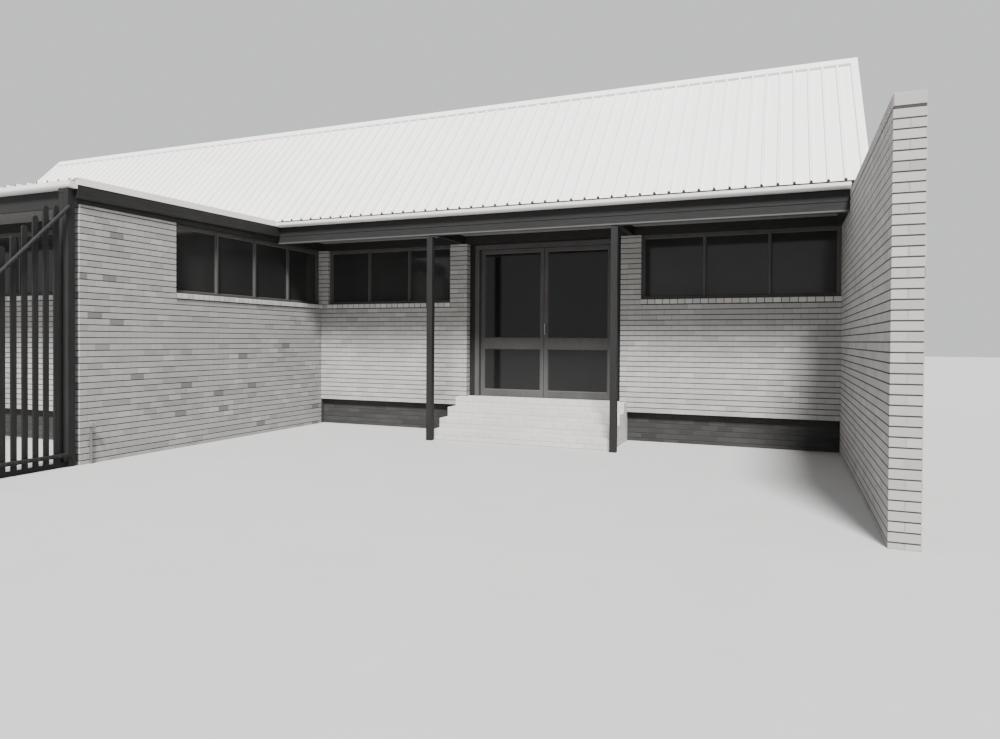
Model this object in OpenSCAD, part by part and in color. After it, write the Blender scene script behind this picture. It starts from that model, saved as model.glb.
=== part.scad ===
// Single-storey school block in light brick round an entrance court.
// X runs to the right along the entrance front, Y runs back into the building, Z is up.
// The origin is on the ground at the middle of the plan.

/* [Plan] */
// Width of the entrance court between the wing and the court wall
court_w = 9300; // [8400:100:11000]
// Width of the wing beside the court
wing_w = 8650; // [6000:50:10000]
// How far the wing reaches forward of the entrance front
wing_reach = 5610; // [5000:10:6000]
// Depth of the open verandah under the wing's front eave
verandah_d = 1430; // [1200:10:2000]
// Depth of the main block from front face to rear face
main_depth = 8400; // [7000:100:10000]

/* [Brickwork] */
// Height of one brick course with its joint
course_h = 86; // [80:1:92]
// Thickness of a mortar joint
joint_t = 10; // [8:1:12]
// Thickness of a cavity brick wall
wall_t = 270; // [230:10:330]
// Thickness of the solid brick court wall and gable
court_wall_t = 230; // [200:10:330]
// Height of the court wall above the top of the raised walls
court_wall_rise = 255; // [200:5:290]
// Courses of brick from the dark base up to the window sill
sill_courses = 22; // [18:1:26]
// Courses of brick from the dark base up to the wall's top
wall_courses = 34.5; // [33:0.5:36]
// Courses of brick that hide the edge of the floor slab
slab_courses = 2; // [1:1:3]
// Height of the set-back base under the raised brickwork
base_h = 488; // [380:1:500]
// How far the base stands behind the face of the brickwork
base_recess = 100; // [50:10:150]
// Thickness of the base wall
base_t = 250; // [200:10:350]
// How far the brick sill stands proud of the wall
sill_proud = 15; // [5:1:30]
// Width of the brick piers beside the doorway and between the rear windows
pier_w = 330; // [230:10:440]
// Width of the half-brick pier in the inner corner
corner_pier_w = 150; // [100:10:240]

/* [Doorway] */
// Distance of the doorway's middle from the wing
door_from_wing = 4580; // [4300:10:4800]
// Clear width between the brick piers
doorway_w = 2820; // [2700:10:3000]
// Width of a door leaf
leaf_w = 1206; // [1100:2:1230]
// Thickness of a door leaf
leaf_t = 45; // [35:1:50]
// Width of the leaf's side and top rails
stile_w = 85; // [60:1:110]
// Height of the leaf's bottom rail
bottom_rail_h = 115; // [80:5:200]
// Height of the leaf's middle rail
mid_rail_h = 197; // [100:1:250]
// Height of the middle rail above the foot of the leaf
mid_rail_z = 870; // [700:5:1100]
// Width of the door frame's posts and head
frame_w = 80; // [50:1:90]
// Depth of the door frame through the wall
frame_d = 130; // [70:5:140]
// Gap round a door leaf
door_gap = 8; // [7:1:12]
// Thickness of the glass in doors and windows
glass_t = 6; // [4:1:12]
// Radius of a hinge knuckle
hinge_r = 8; // [6:1:10]
// Length of a hinge knuckle
hinge_l = 100; // [70:5:150]
// Width and thickness of the hinge plate on the frame
hinge_plate_w = 58; // [30:2:60]
hinge_plate_t = 3; // [2:1:4]
// Distance of the lowest and the highest hinge from the leaf's ends
hinge_end = 200; // [150:10:300]
// Distance of the lining's face behind the face of the door frame
lining_set = 15; // [5:1:30]
// Height of the lining over the door frame
lining_head_h = 19; // [10:1:60]
// Length of the pull handle
handle_l = 200; // [150:10:400]
// Radius of the pull handle's bar
handle_r = 9; // [6:1:12]
// Radius of the two stubs that carry the bar
stub_r = 7; // [5:1:8]
// Distance of the bar from the leaf's face
handle_out = 50; // [40:5:80]
// Distance of the stubs from the bar's ends
stub_end = 24; // [15:1:40]
// Height of the bar's lower end above the middle rail
handle_above = 60; // [10:5:100]
// Distance of the bar from the edge of its leaf
handle_in = 25; // [20:1:60]

/* [Steps] */
// Number of risers in the entrance flight
risers = 4; // [4:1:4]
// Depth of a tread
tread_d = 345; // [300:5:380]
// Depth of the landing in front of the wall
landing_d = 220; // [150:10:300]
// Width of the flight
steps_w = 3040; // [3000:10:3300]

/* [Windows] */
// Number of panes in a front window
front_panes = 3; // [2:1:4]
// Number of panes in the wing's side windows
side_panes = 4; // [3:1:5]
// Number of windows in the rear wall
rear_windows = 5; // [4:1:6]
// Number of windows in the wing's front wall
wing_windows = 2; // [2:1:3]
// Width of a window bar
bar_w = 50; // [40:1:70]
// Depth of a window frame
window_d = 80; // [60:5:100]
// Distance of a window frame behind the wall's face
window_set = 70; // [40:5:110]

/* [Eaves] */
// Reach of the fascia in front of the wall
eave_out = 1410; // [1200:10:1500]
// Thickness of the fascia boards
board_t = 40; // [25:1:50]
// Height of the lower fascia board
lower_board_h = 105; // [60:5:140]
// Height of the pale strip under the fascia
strip_h = 45; // [30:5:60]
// How far the pale strip stands in front of the fascia
strip_out = 5; // [2:1:10]
// Groove between the two fascia boards
groove_h = 8; // [5:1:15]
// Height of the fascia
fascia_h = 315; // [290:5:325]
// Height of the board along the wing's court side
wing_board_h = 178; // [120:2:200]
// Height of the beam over the walls
head_beam_h = 75; // [60:5:90]
// Thickness of the eave beam and the cross beams
beam_t = 75; // [50:5:100]
// Side of a square eave post
post_w = 100; // [75:5:120]
// Distances of the two entrance posts from the doorway's middle
left_post_out = 1490; // [1470:5:1600]
right_post_out = 1585; // [1470:5:1600]
// Number of posts along the wing's front eave
wing_posts = 4; // [2:1:6]
// Thickness of the soffit sheet
soffit_t = 12; // [6:1:18]
// Distance of the wing's fascia beyond the end of its walls
wing_eave = 70; // [50:5:100]
// Distance of the wing's side fascia from the court face of its wall
side_board_t = 50; // [30:5:60]
// Width of the gutters
gutter_w = 115; // [100:5:140]
// Height of the gutters
gutter_h = 90; // [75:5:115]
// Distance from the roof's lower edge down to the top of the gutters below it
gutter_drop = 20; // [10:5:40]
// Distance from the front edge of the wing's roof down to the top of its gutter
wing_gutter_drop = 25; // [0:5:35]
// Radius of the gutter's rounded foot
gutter_r = 55; // [40:1:65]
// Thickness of the gutter's metal
gutter_t = 3; // [2:1:4]

/* [Roof] */
// Pitch of the steep roof slopes in degrees
pitch = 45; // [42:1:48]
// Height of the fold above the steep roof's lower edge
roof_rise = 2350; // [1800:10:2600]
// Height of the steep roof's lower edge above the top of the walls
eave_rise = 385; // [380:1:400]
// Reach of the roof sheet beyond the fascia
drip = 40; // [20:5:60]
// Thickness of the roof below the sheet's pans
roof_t = 60; // [50:5:70]
// Distance between the ribs of the roof sheet
rib_pitch = 207; // [180:1:250]
// Height of a rib
rib_h = 40; // [30:1:45]
// Width of a rib at its foot
rib_foot = 50; // [40:1:60]
// Width of a rib at its top
rib_top = 24; // [15:1:30]
// Height of a rib on the wing's roof
wing_rib_h = 29; // [20:1:32]
// Gap between the roof sheets and what carries or covers them
seat_gap = 0.2; // [0.1:0.1:1]
// Fall of the wing's roof towards its front in degrees
wing_fall = 0.6; // [0.4:0.1:0.6]
// Height of the wing roof's front edge above the top of the walls
wing_roof_rise = 301; // [290:1:304]
// Thickness of the flashing metal
flashing_t = 4; // [2:1:5]
// Width of the ridge capping on each side of the fold
capping_w = 160; // [120:10:220]
// Depth of the flashing on the verges
verge_h = 110; // [90:5:140]

/* [Screen] */
// Length of the slatted screen in front of the wing
screen_l = 1700; // [1100:50:1800]
// Width of a screen slat
slat_w = 86; // [70:1:100]
// Thickness of a screen slat
slat_t = 38; // [25:1:50]
// Distance between the slats
slat_pitch = 145; // [120:1:170]
// Height of the tallest slat
slat_top = 3380; // [3200:10:3500]
// Fall of the screen's sloping rail in degrees
rail_fall = 45; // [40:1:48]
// Height of the sloping rail where it meets the eave post
rail_start_z = 3370; // [3300:5:3500]
// Distance from the slat tops down to the sloping rail
rail_drop = 270; // [200:10:400]
// Radius of the screen's rails
rail_r = 28; // [20:1:35]
// Height of the sole rail under the slats
sole_h = 60; // [30:5:80]
// Height of the bottom rail
bottom_rail_z = 160; // [130:5:300]

/* [Fittings] */
// Radius of the downpipe
pipe_r = 45; // [35:1:50]
// Space between the downpipe and the post beside it
pipe_gap = 15; // [5:5:60]
// Height of the garden tap's pipe
tap_h = 500; // [350:10:600]
// Radius of the garden tap's pipe
tap_r = 14; // [10:1:20]
// Distance of the garden tap's pipe from the wall
tap_from_wall = 28; // [20:1:40]
// Distance of the garden tap from the end of the wing's wall
tap_from_end = 150; // [60:10:400]
// Reach of the tap's spout from its pipe
tap_spout = 70; // [50:5:100]
// Drop of the tap's spout
tap_drop = 60; // [40:5:90]
// Radius of the tap's spout
spout_r = 10; // [7:1:13]

/* [Hidden] */
$fn = 32;

// The left end reaches to its brick sills and the right end to its verge flashing
left_x = (sill_proud - flashing_t - wing_w - court_w - court_wall_t) / 2;
court_x = left_x + wing_w;
court_right_x = court_x + court_w;
right_x = court_right_x + court_wall_t;

screen_reach = wing_reach + wing_eave + post_w + screen_l;
rear_reach = main_depth + eave_out + gutter_w;
front_y = (screen_reach - rear_reach) / 2;
rear_y = front_y + main_depth;
mid_y = front_y + main_depth / 2;
wing_y = front_y - wing_reach;
wing_front_y = wing_y + verandah_d;
fascia_y = front_y - eave_out;
beam_back_y = fascia_y + board_t + beam_t;
wing_fascia_y = wing_y - wing_eave;
board_back_y = wing_fascia_y + board_t;

floor_z = base_h + slab_courses * course_h - joint_t;
sill_z = base_h + sill_courses * course_h - joint_t;
wall_top = base_h + wall_courses * course_h - joint_t;
beam_top = wall_top + head_beam_h;
court_wall_h = wall_top + court_wall_rise;
fascia_top = wall_top + fascia_h;
eave_z = wall_top + eave_rise;
ridge_h = eave_z + roof_rise;
wing_roof_z = wall_top + wing_roof_rise;

// The steep slope: its lower edge, its fold and the line of its pans and underside
slope = tan(pitch);
sheet_y = fascia_y - drip;
ridge_y = sheet_y + (ridge_h - eave_z) / slope;
slope_l = (ridge_h - eave_z) / sin(pitch);
function under_z(y) = eave_z + (y - sheet_y) * slope - (roof_t + seat_gap) / cos(pitch);
fold_z = ridge_h - roof_t;
fold_y = sheet_y + (fold_z - eave_z + (roof_t + seat_gap) / cos(pitch)) / slope;
deck_gap = 10;
deck_y = ridge_y + roof_t * sin(pitch) + deck_gap;
// The roof's outline from the front eave over the deck to the rear eave, moved out by d
function roof_line(d) = [
    [sheet_y - d * sin(pitch), eave_z + d * cos(pitch)],
    [ridge_y - d * tan(pitch / 2), ridge_h + d],
    [2 * mid_y - ridge_y + d * tan(pitch / 2), ridge_h + d],
    [2 * mid_y - sheet_y + d * sin(pitch), eave_z + d * cos(pitch)]
];
function reversed(v) = [for (i = [len(v) - 1 : -1 : 0]) v[i]];
// Where the steep sheet's square-cut foot meets the curb behind the wing's roof
curb_in = 5;
curb_y = sheet_y + curb_in;
foot_y = sheet_y + (roof_t + seat_gap) * sin(pitch) - seat_gap * cos(pitch);
foot_z = eave_z - (roof_t + seat_gap) * cos(pitch) - seat_gap * sin(pitch);
curb_z = eave_z - (seat_gap + curb_in * cos(pitch)) / sin(pitch);

// The wing's roof: its underside and pans rise slightly towards the main block
function wing_pan_z(y) = wing_roof_z + (y - wing_fascia_y) * tan(wing_fall);
function wing_under_z(y) = wing_pan_z(y) - roof_t / cos(wing_fall) - seat_gap;
wing_roof_y = wing_fascia_y - drip;
wing_roof_l = (curb_y - seat_gap - wing_roof_y - roof_t * sin(wing_fall)) / cos(wing_fall);
gutter_top = eave_z - gutter_drop;
wing_gutter_top = wing_roof_z - wing_gutter_drop;

// The cappings lie on the ribs
cap_h = rib_h + seat_gap;
wing_cap_h = wing_rib_h + seat_gap;

door_x = court_x + door_from_wing;
doorway_x0 = door_x - doorway_w / 2;
doorway_x1 = door_x + doorway_w / 2;
left_window = [court_x + corner_pier_w, doorway_x0 - pier_w];
right_window = [doorway_x1 + pier_w, court_right_x];
side_window = [wing_front_y + wall_t, front_y];
door_y = front_y + wall_t - frame_d;
leaf_y = front_y + wall_t - leaf_t - hinge_r / 2;
hinge_y = front_y + wall_t + hinge_r;
leaf_z = floor_z + door_gap;
leaf_h = wall_top - lining_head_h - frame_w - door_gap - leaf_z;
leaf_top = leaf_z + leaf_h;
frame_top = leaf_top + door_gap + frame_w;
left_hinge_x = door_x - door_gap / 2 - leaf_w;
right_hinge_x = door_x + door_gap / 2 + leaf_w;

// Rear windows and the wing's front windows divide the clear wall evenly
rear_x0 = left_x + wall_t;
rear_window_w = (court_right_x - rear_x0 - (rear_windows + 1) * pier_w) / rear_windows;
function rear_window(i) = rear_x0 + pier_w + i * (rear_window_w + pier_w);
function rear_opening(i) = [rear_window(i), rear_window(i) + rear_window_w];
function rear_post_x(i) = rear_window(i) - pier_w / 2;
wing_x0 = left_x + wall_t;
wing_x1 = court_x - wall_t;
wing_window_w = (wing_x1 - wing_x0 - (wing_windows + 1) * pier_w) / wing_windows;
function wing_opening(i) =
    let (x = wing_x0 + pier_w + i * (wing_window_w + pier_w)) [x, x + wing_window_w];

riser_h = floor_z / risers;
steps_x0 = door_x - steps_w / 2;
steps_x1 = door_x + steps_w / 2;
entrance_post_x = [door_x - left_post_out, door_x + right_post_out];
strip_z = wall_top - strip_h;
cross_beam_x = [
    court_x + beam_t / 2, entrance_post_x[0], entrance_post_x[1], court_right_x - beam_t / 2
];

brick = [0.72, 0.70, 0.66];
dark_timber = [0.16, 0.14, 0.13];
pale_metal = [0.90, 0.90, 0.88];
step_brick = [0.80, 0.78, 0.74];
dark_glass = [0.10, 0.11, 0.12, 0.6];
leaf_paint = [0.25, 0.24, 0.23];
floor_colour = [0.55, 0.55, 0.53];
base_colour = [0.13, 0.13, 0.13];
bare_metal = [0.6, 0.6, 0.6];

// Box between two corners, given axis by axis
module box(x0, x1, y0, y1, z0, z1) {
    translate([x0, y0, z0]) cube([x1 - x0, y1 - y0, z1 - z0]);
}

// Solid whose outline is drawn in Y and Z and which runs along X
module along_x(x0, x1) {
    translate([x0, 0, 0]) rotate([90, 0, 90]) linear_extrude(x1 - x0) children();
}

// The same piece on the other side of the main block's middle
module at_rear() {
    translate([0, mid_y, 0]) mirror([0, 1, 0]) translate([0, -mid_y, 0]) children();
}

// Raised brick wall along X with its window strips notched down to the sill course
module strip_wall_x(x0, x1, y0, openings) {
    difference() {
        box(x0, x1, y0, y0 + wall_t, base_h, wall_top);
        for (o = openings)
            box(o[0], o[1], y0 - 1, y0 + wall_t + 1, sill_z - course_h, wall_top + 1);
    }
}

module front_wall_left() {
    color(brick) strip_wall_x(court_x - wall_t, doorway_x0, front_y, [left_window]);
}

module front_wall_right() {
    color(brick)
        strip_wall_x(doorway_x1, court_right_x, front_y, [[right_window[0], court_right_x + 1]]);
}

// Side wall of the wing: full height beside the verandah, then a window strip up to the main block
module wing_side_wall(x0) {
    difference() {
        box(x0, x0 + wall_t, wing_y, front_y, 0, wall_top);
        box(x0 - 1, x0 + wall_t + 1, side_window[0], side_window[1], sill_z - course_h, wall_top + 1);
    }
}

// The wing's wall on the court side, with a foot that closes the set-back base in the corner
module wing_court_wall() {
    color(brick) {
        wing_side_wall(court_x - wall_t);
        box(court_x - wall_t, court_x, front_y, front_y + base_recess, 0, base_h);
    }
}

module wing_end_wall() {
    color(brick) wing_side_wall(left_x);
}

module wing_front_wall() {
    color(brick)
        strip_wall_x(wing_x0, wing_x1, wing_front_y,
            [for (i = [0 : wing_windows - 1]) wing_opening(i)]);
}

module rear_wall() {
    color(brick)
        strip_wall_x(rear_x0, court_right_x, rear_y - wall_t,
            [for (i = [0 : rear_windows - 1]) rear_opening(i)]);
}

// End wall that follows the steep slopes and the deck, with a shoulder over the wall in front
module gable_wall(x0, t, shoulder_y, shoulder_z) {
    along_x(x0, x0 + t)
        polygon([
            [front_y, 0], [rear_y, 0], [rear_y, under_z(front_y)],
            [2 * mid_y - fold_y, fold_z], [fold_y, fold_z],
            [shoulder_y, under_z(shoulder_y)], [shoulder_y, shoulder_z], [front_y, shoulder_z]
        ]);
}

module left_gable_wall() {
    color(brick) gable_wall(left_x, wall_t, beam_back_y, beam_top);
}

module right_gable_wall() {
    color(brick) gable_wall(court_right_x, court_wall_t, fascia_y + board_t, court_wall_h);
}

module court_side_wall() {
    color(brick) box(court_right_x, right_x, wing_y, front_y, 0, court_wall_h);
}

// Dark base under the raised walls, set back from their faces
module base_walls() {
    base_y = front_y + base_recess;
    color(base_colour) {
        box(court_x - wall_t, court_right_x, base_y, base_y + base_t, 0, base_h);
        box(rear_x0, court_right_x, rear_y - base_recess - base_t, rear_y - base_recess, 0, base_h);
        box(wing_x0, wing_x1, wing_front_y + base_recess, wing_front_y + base_recess + base_t, 0, base_h);
    }
}

// Sill course of bricks along one strip of windows
module sill_x(o, y0, out) {
    box(o[0], o[1], y0 - (out < 0 ? sill_proud : 0), y0 + wall_t + (out > 0 ? sill_proud : 0),
        sill_z - course_h, sill_z);
}

module sill_y(x0, out) {
    box(x0 - (out < 0 ? sill_proud : 0), x0 + wall_t + (out > 0 ? sill_proud : 0),
        side_window[0], side_window[1], sill_z - course_h, sill_z);
}

module window_sills() {
    color(step_brick) {
        sill_x(left_window, front_y, -1);
        sill_x(right_window, front_y, -1);
        sill_y(court_x - wall_t, 1);
        sill_y(left_x, -1);
        for (i = [0 : wing_windows - 1])
            sill_x(wing_opening(i), wing_front_y, -1);
        for (i = [0 : rear_windows - 1])
            sill_x(rear_opening(i), rear_y - wall_t, 1);
    }
}

module main_floor() {
    color(floor_colour)
        box(rear_x0, court_right_x, front_y + wall_t, rear_y - wall_t, base_h, floor_z);
}

module wing_floor() {
    color(floor_colour)
        box(wing_x0, wing_x1, wing_front_y + wall_t, front_y + wall_t, base_h, floor_z);
}

// One step of the brick flight, counted from the ground; the top one runs through the doorway
module entrance_step(i) {
    front = front_y - landing_d - (risers - i) * tread_d;
    back = front_y + (i * riser_h > base_h ? 0 : base_recess);
    color(step_brick) {
        box(steps_x0, steps_x1, front, back, (i - 1) * riser_h, i * riser_h);
        if (i == risers)
            box(doorway_x0, doorway_x1, front_y, front_y + wall_t, base_h, floor_z);
    }
}

// Square post with its foot on the ground
module post(x, y, top) {
    box(x - post_w / 2, x + post_w / 2, y, y + post_w, 0, top);
}

// Posts beside the entrance, posts up to the wing's gutter, and posts under the rear eave
module eave_posts() {
    color(dark_timber) {
        for (x = entrance_post_x)
            post(x, fascia_y, strip_z);
        for (i = [0 : wing_posts - 1])
            post(left_x + post_w / 2 + i * (wing_w - post_w) / (wing_posts - 1), wing_fascia_y - post_w,
                wing_gutter_top - gutter_h);
        for (i = [0 : rear_windows])
            at_rear()
                post(rear_post_x(i), fascia_y, strip_z);
    }
}

// Beams on top of the walls, over the window strips
module head_beams() {
    color(dark_timber) {
        box(left_x + wall_t, court_right_x, front_y, front_y + wall_t, wall_top, beam_top);
        box(rear_x0, court_right_x, rear_y - wall_t, rear_y, wall_top, beam_top);
        box(wing_x0, wing_x1, wing_front_y, wing_front_y + wall_t, wall_top, beam_top);
    }
}

// Beams on the wing's side walls, cut to the fall of its roof
module wing_side_beams() {
    color(dark_timber)
        for (x = [left_x, court_x - wall_t])
            along_x(x, x + wall_t)
                polygon([
                    [board_back_y, wall_top], [front_y, wall_top], [front_y, beam_top], [curb_y, beam_top],
                    [curb_y, wing_under_z(curb_y)], [board_back_y, wing_under_z(board_back_y)]
                ]);
}

// Beam from an eave post back to the brick pier behind it
module cross_beam(x) {
    box(x - beam_t / 2, x + beam_t / 2, beam_back_y, front_y, wall_top, beam_top);
}

module cross_beams() {
    color(dark_timber) {
        for (x = cross_beam_x)
            cross_beam(x);
        at_rear()
            for (i = [0 : rear_windows])
                cross_beam(rear_post_x(i));
    }
}

// Beam behind the fascia that carries the foot of the steep slope
module eave_beam(x0, x1) {
    y0 = fascia_y + board_t;
    along_x(x0, x1)
        polygon([
            [y0, wall_top], [beam_back_y, wall_top], [beam_back_y, under_z(beam_back_y)], [y0, under_z(y0)]
        ]);
}

module eave_beams() {
    color(dark_timber) {
        eave_beam(court_x, court_right_x);
        at_rear() eave_beam(left_x + board_t, right_x - board_t);
    }
}

// Curb that closes the joint between the wing's roof and the foot of the steep slope, and its
// short return over the wing's side board as far as the front fascia
module wing_curb() {
    return_z = wing_under_z(fascia_y);
    color(dark_timber) {
        along_x(left_x, court_x)
            polygon([
                [curb_y, beam_top], [beam_back_y, beam_top], [beam_back_y, under_z(beam_back_y)],
                [foot_y, foot_z], [curb_y, curb_z]
            ]);
        along_x(court_x, court_x + side_board_t)
            polygon([
                [curb_y, return_z], [fascia_y, return_z],
                [fascia_y, curb_z - (fascia_y - curb_y) / slope], [curb_y, curb_z]
            ]);
    }
}

// Two boards with a groove between them
module boards_x(x0, x1, y0) {
    color(dark_timber)
        along_x(x0, x1)
            difference() {
                translate([y0, wall_top]) square([board_t, fascia_top - wall_top]);
                translate([y0 - 1, wall_top + lower_board_h]) square([board_t / 2 + 1, groove_h]);
            }
}

// Pale strips under the front and rear fascias
module eave_strips() {
    color(pale_metal) {
        box(court_x, court_right_x, fascia_y - strip_out, beam_back_y, strip_z, wall_top);
        at_rear()
            box(left_x, right_x, fascia_y - strip_out, beam_back_y, strip_z, wall_top);
    }
}

module front_fascia() {
    boards_x(court_x, court_right_x, fascia_y);
}

// Rear fascia with a triangular board closing each end of the eave
module rear_fascia() {
    at_rear() {
        boards_x(left_x, right_x, fascia_y);
        color(dark_timber)
            for (x = [left_x, right_x - board_t])
                along_x(x, x + board_t)
                    polygon([
                        [fascia_y + board_t, wall_top], [front_y, wall_top],
                        [front_y, under_z(front_y)], [fascia_y + board_t, under_z(fascia_y + board_t)]
                    ]);
    }
}

// Board along the wing's court side and board across its front
module wing_fascia() {
    color(dark_timber) {
        along_x(court_x, court_x + side_board_t)
            polygon([
                [wing_fascia_y, wing_under_z(wing_fascia_y) - wing_board_h],
                [fascia_y, wing_under_z(fascia_y) - wing_board_h],
                [fascia_y, wing_under_z(fascia_y)], [wing_fascia_y, wing_under_z(wing_fascia_y)]
            ]);
        box(left_x, court_x, wing_fascia_y, wing_fascia_y + board_t, strip_z, wing_under_z(wing_fascia_y));
    }
}

module soffit(x0, x1, y0, y1) {
    box(x0, x1, y0, y1, beam_top - soffit_t, beam_top);
}

// Soffit sheets between the cross beams, under the front, rear and wing eaves
module soffits() {
    rear_edges = concat(
        [left_x + board_t],
        [for (i = [0 : rear_windows], side = [-1, 1]) rear_post_x(i) + side * beam_t / 2],
        [right_x - board_t]
    );
    color(pale_metal) {
        for (i = [0 : 2])
            soffit(cross_beam_x[i] + beam_t / 2, cross_beam_x[i + 1] - beam_t / 2, beam_back_y, front_y);
        at_rear()
            for (i = [0 : 2 : len(rear_edges) - 1])
                soffit(rear_edges[i], rear_edges[i + 1], beam_back_y, front_y);
        soffit(wing_x0, wing_x1, board_back_y, wing_front_y);
    }
}

// Gaps between ribs across a sheet, and the distance from its edge to the middle of its first rib
function rib_count(x0, x1) = floor((x1 - x0 - rib_foot) / rib_pitch);
function rib_margin(x0, x1) = (x1 - x0 - rib_count(x0, x1) * rib_pitch) / 2;

// Outline of ribbed roof sheet across its ribs; ribs stand on the negative side
function rib_outline(x0, x1, height) =
    let (count = rib_count(x0, x1), first = x0 + rib_margin(x0, x1), foot = rib_foot / 2, top = rib_top / 2)
    concat(
        [[x0, 0]],
        [for (i = [0 : count], p = [[-foot, 0], [-top, -height], [top, -height], [foot, 0]])
            [first + i * rib_pitch + p[0], p[1]]],
        [[x1, 0], [x1, roof_t], [x0, roof_t]]
    );

// Ribbed roof laid from its lower edge at y and z, rising towards the back at the given angle
module ribbed_roof(x0, x1, y, z, angle, length, height) {
    translate([0, y, z])
        rotate([angle - 90, 0, 0])
            linear_extrude(length) polygon(rib_outline(x0, x1, height));
}

// The main sheets stop short of the verge flashings
sheet_x0 = left_x + seat_gap;
sheet_x1 = right_x - seat_gap;

module steep_slope() {
    color(pale_metal) ribbed_roof(sheet_x0, sheet_x1, sheet_y, eave_z, pitch, slope_l, rib_h);
}

module front_roof_slope() {
    steep_slope();
}

module rear_roof_slope() {
    at_rear() steep_slope();
}

module roof_deck() {
    color(pale_metal) ribbed_roof(sheet_x0, sheet_x1, deck_y, ridge_h, 0, 2 * (mid_y - deck_y), rib_h);
}

module wing_roof() {
    color(pale_metal)
        ribbed_roof(left_x, court_x + side_board_t - seat_gap, wing_roof_y, wing_pan_z(wing_roof_y),
            wing_fall, wing_roof_l, wing_rib_h);
}

// Folded capping over the ribs along the fold
module ridge_capping() {
    peak = roof_line(cap_h)[1];
    outer = roof_line(cap_h + flashing_t)[1];
    along = [cos(pitch), sin(pitch)] * capping_w;
    along_x(left_x, right_x)
        polygon([
            peak, peak - along, outer - along, outer,
            [peak[0] + capping_w, outer[1]], [peak[0] + capping_w, peak[1]]
        ]);
}

// Bent flashing down a verge: a plate on the wall's face and a leg over the last rib
module verge_flashing(wall_x, side) {
    leg = rib_margin(left_x, right_x) + rib_top / 2;
    along_x(side < 0 ? wall_x - flashing_t : wall_x, side < 0 ? wall_x : wall_x + flashing_t)
        polygon(concat(roof_line(cap_h + flashing_t), reversed(roof_line(cap_h - verge_h))));
    along_x(side < 0 ? wall_x : wall_x - leg, side < 0 ? wall_x + leg : wall_x)
        polygon(concat(roof_line(cap_h + flashing_t), reversed(roof_line(cap_h))));
}

// Flashing along the wing's court edge: a plate down to the fascia and a leg over the last rib
module wing_flashing() {
    x0 = court_x + side_board_t;
    leg = rib_margin(left_x, x0) + rib_top / 2;
    front_z = wing_pan_z(wing_fascia_y) + wing_cap_h;
    back_z = wing_pan_z(sheet_y) + wing_cap_h;
    along_x(x0, x0 + flashing_t)
        polygon([
            [wing_fascia_y, front_z + flashing_t], [sheet_y, back_z + flashing_t],
            [sheet_y, wing_under_z(sheet_y)], [wing_fascia_y, wing_under_z(wing_fascia_y)]
        ]);
    along_x(x0 - leg, x0)
        polygon([
            [wing_fascia_y, front_z], [sheet_y, back_z],
            [sheet_y, back_z + flashing_t], [wing_fascia_y, front_z + flashing_t]
        ]);
}

module roof_cappings() {
    color(pale_metal) {
        ridge_capping();
        at_rear() ridge_capping();
        verge_flashing(left_x, -1);
        verge_flashing(right_x, 1);
        wing_flashing();
    }
}

// Open gutter with a rounded front foot; its back stops under the roof sheet
module gutter(x0, x1, y0, top, back_top) {
    r = gutter_r;
    ri = r - gutter_t;
    front = y0 - gutter_w;
    foot = top - gutter_h;
    outer = concat(
        [[y0, foot]],
        [for (a = [270 : -10 : 180]) [front + r + r * cos(a), foot + r + r * sin(a)]],
        [[front, top]]
    );
    inner = concat(
        [[front + gutter_t, top]],
        [for (a = [180 : 10 : 270]) [front + r + ri * cos(a), foot + r + ri * sin(a)]],
        [[y0 - gutter_t, foot + gutter_t], [y0 - gutter_t, back_top], [y0, back_top]]
    );
    mouth = y0 - drip - gutter_t;
    along_x(x0, x1) polygon(concat(outer, inner));
    for (x = [x0, x1 - gutter_t])
        along_x(x, x + gutter_t)
            polygon(concat(outer, [[mouth, top], [mouth, back_top], [y0, back_top]]));
}

module front_gutter() {
    color(pale_metal)
        gutter(court_x + side_board_t + flashing_t, court_right_x, fascia_y, gutter_top, fascia_top);
}

module rear_gutter() {
    color(pale_metal) at_rear() gutter(left_x, right_x, fascia_y, gutter_top, fascia_top);
}

module wing_gutter() {
    color(pale_metal)
        gutter(left_x, court_x + side_board_t, wing_fascia_y, wing_gutter_top, wing_under_z(wing_roof_y));
}

// Downpipe under the wing's gutter, standing on the ground
module wing_downpipe() {
    color(dark_timber)
        translate([court_x - post_w - pipe_gap - pipe_r, wing_fascia_y - gutter_w / 2, 0])
            cylinder(r = pipe_r, h = wing_gutter_top - gutter_h);
}

// Window frame along X with evenly spaced bars
module frame_x(o, y0, panes) {
    w = (o[1] - o[0] - (panes + 1) * bar_w) / panes;
    difference() {
        box(o[0], o[1], y0, y0 + window_d, sill_z, wall_top);
        for (i = [0 : panes - 1])
            box(o[0] + bar_w + i * (w + bar_w), o[0] + bar_w + i * (w + bar_w) + w,
                y0 - 1, y0 + window_d + 1, sill_z + bar_w, wall_top - bar_w);
    }
}

// Panes that fill the same frame
module panes_x(o, y0, panes) {
    w = (o[1] - o[0] - (panes + 1) * bar_w) / panes;
    gy = y0 + window_d / 2 - glass_t / 2;
    for (i = [0 : panes - 1])
        box(o[0] + bar_w + i * (w + bar_w), o[0] + bar_w + i * (w + bar_w) + w,
            gy, gy + glass_t, sill_z + bar_w, wall_top - bar_w);
}

// The same frame or panes turned to run along Y at the wing's side walls
module turned_to_side(x) {
    translate([x, 0, 0]) rotate([0, 0, 90]) children();
}

// Where the frames of the side walls and the rear wall stand
court_frame_x = court_x - window_set - window_d;
end_frame_x = left_x + window_set;
rear_frame_y = rear_y - window_set - window_d;

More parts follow.
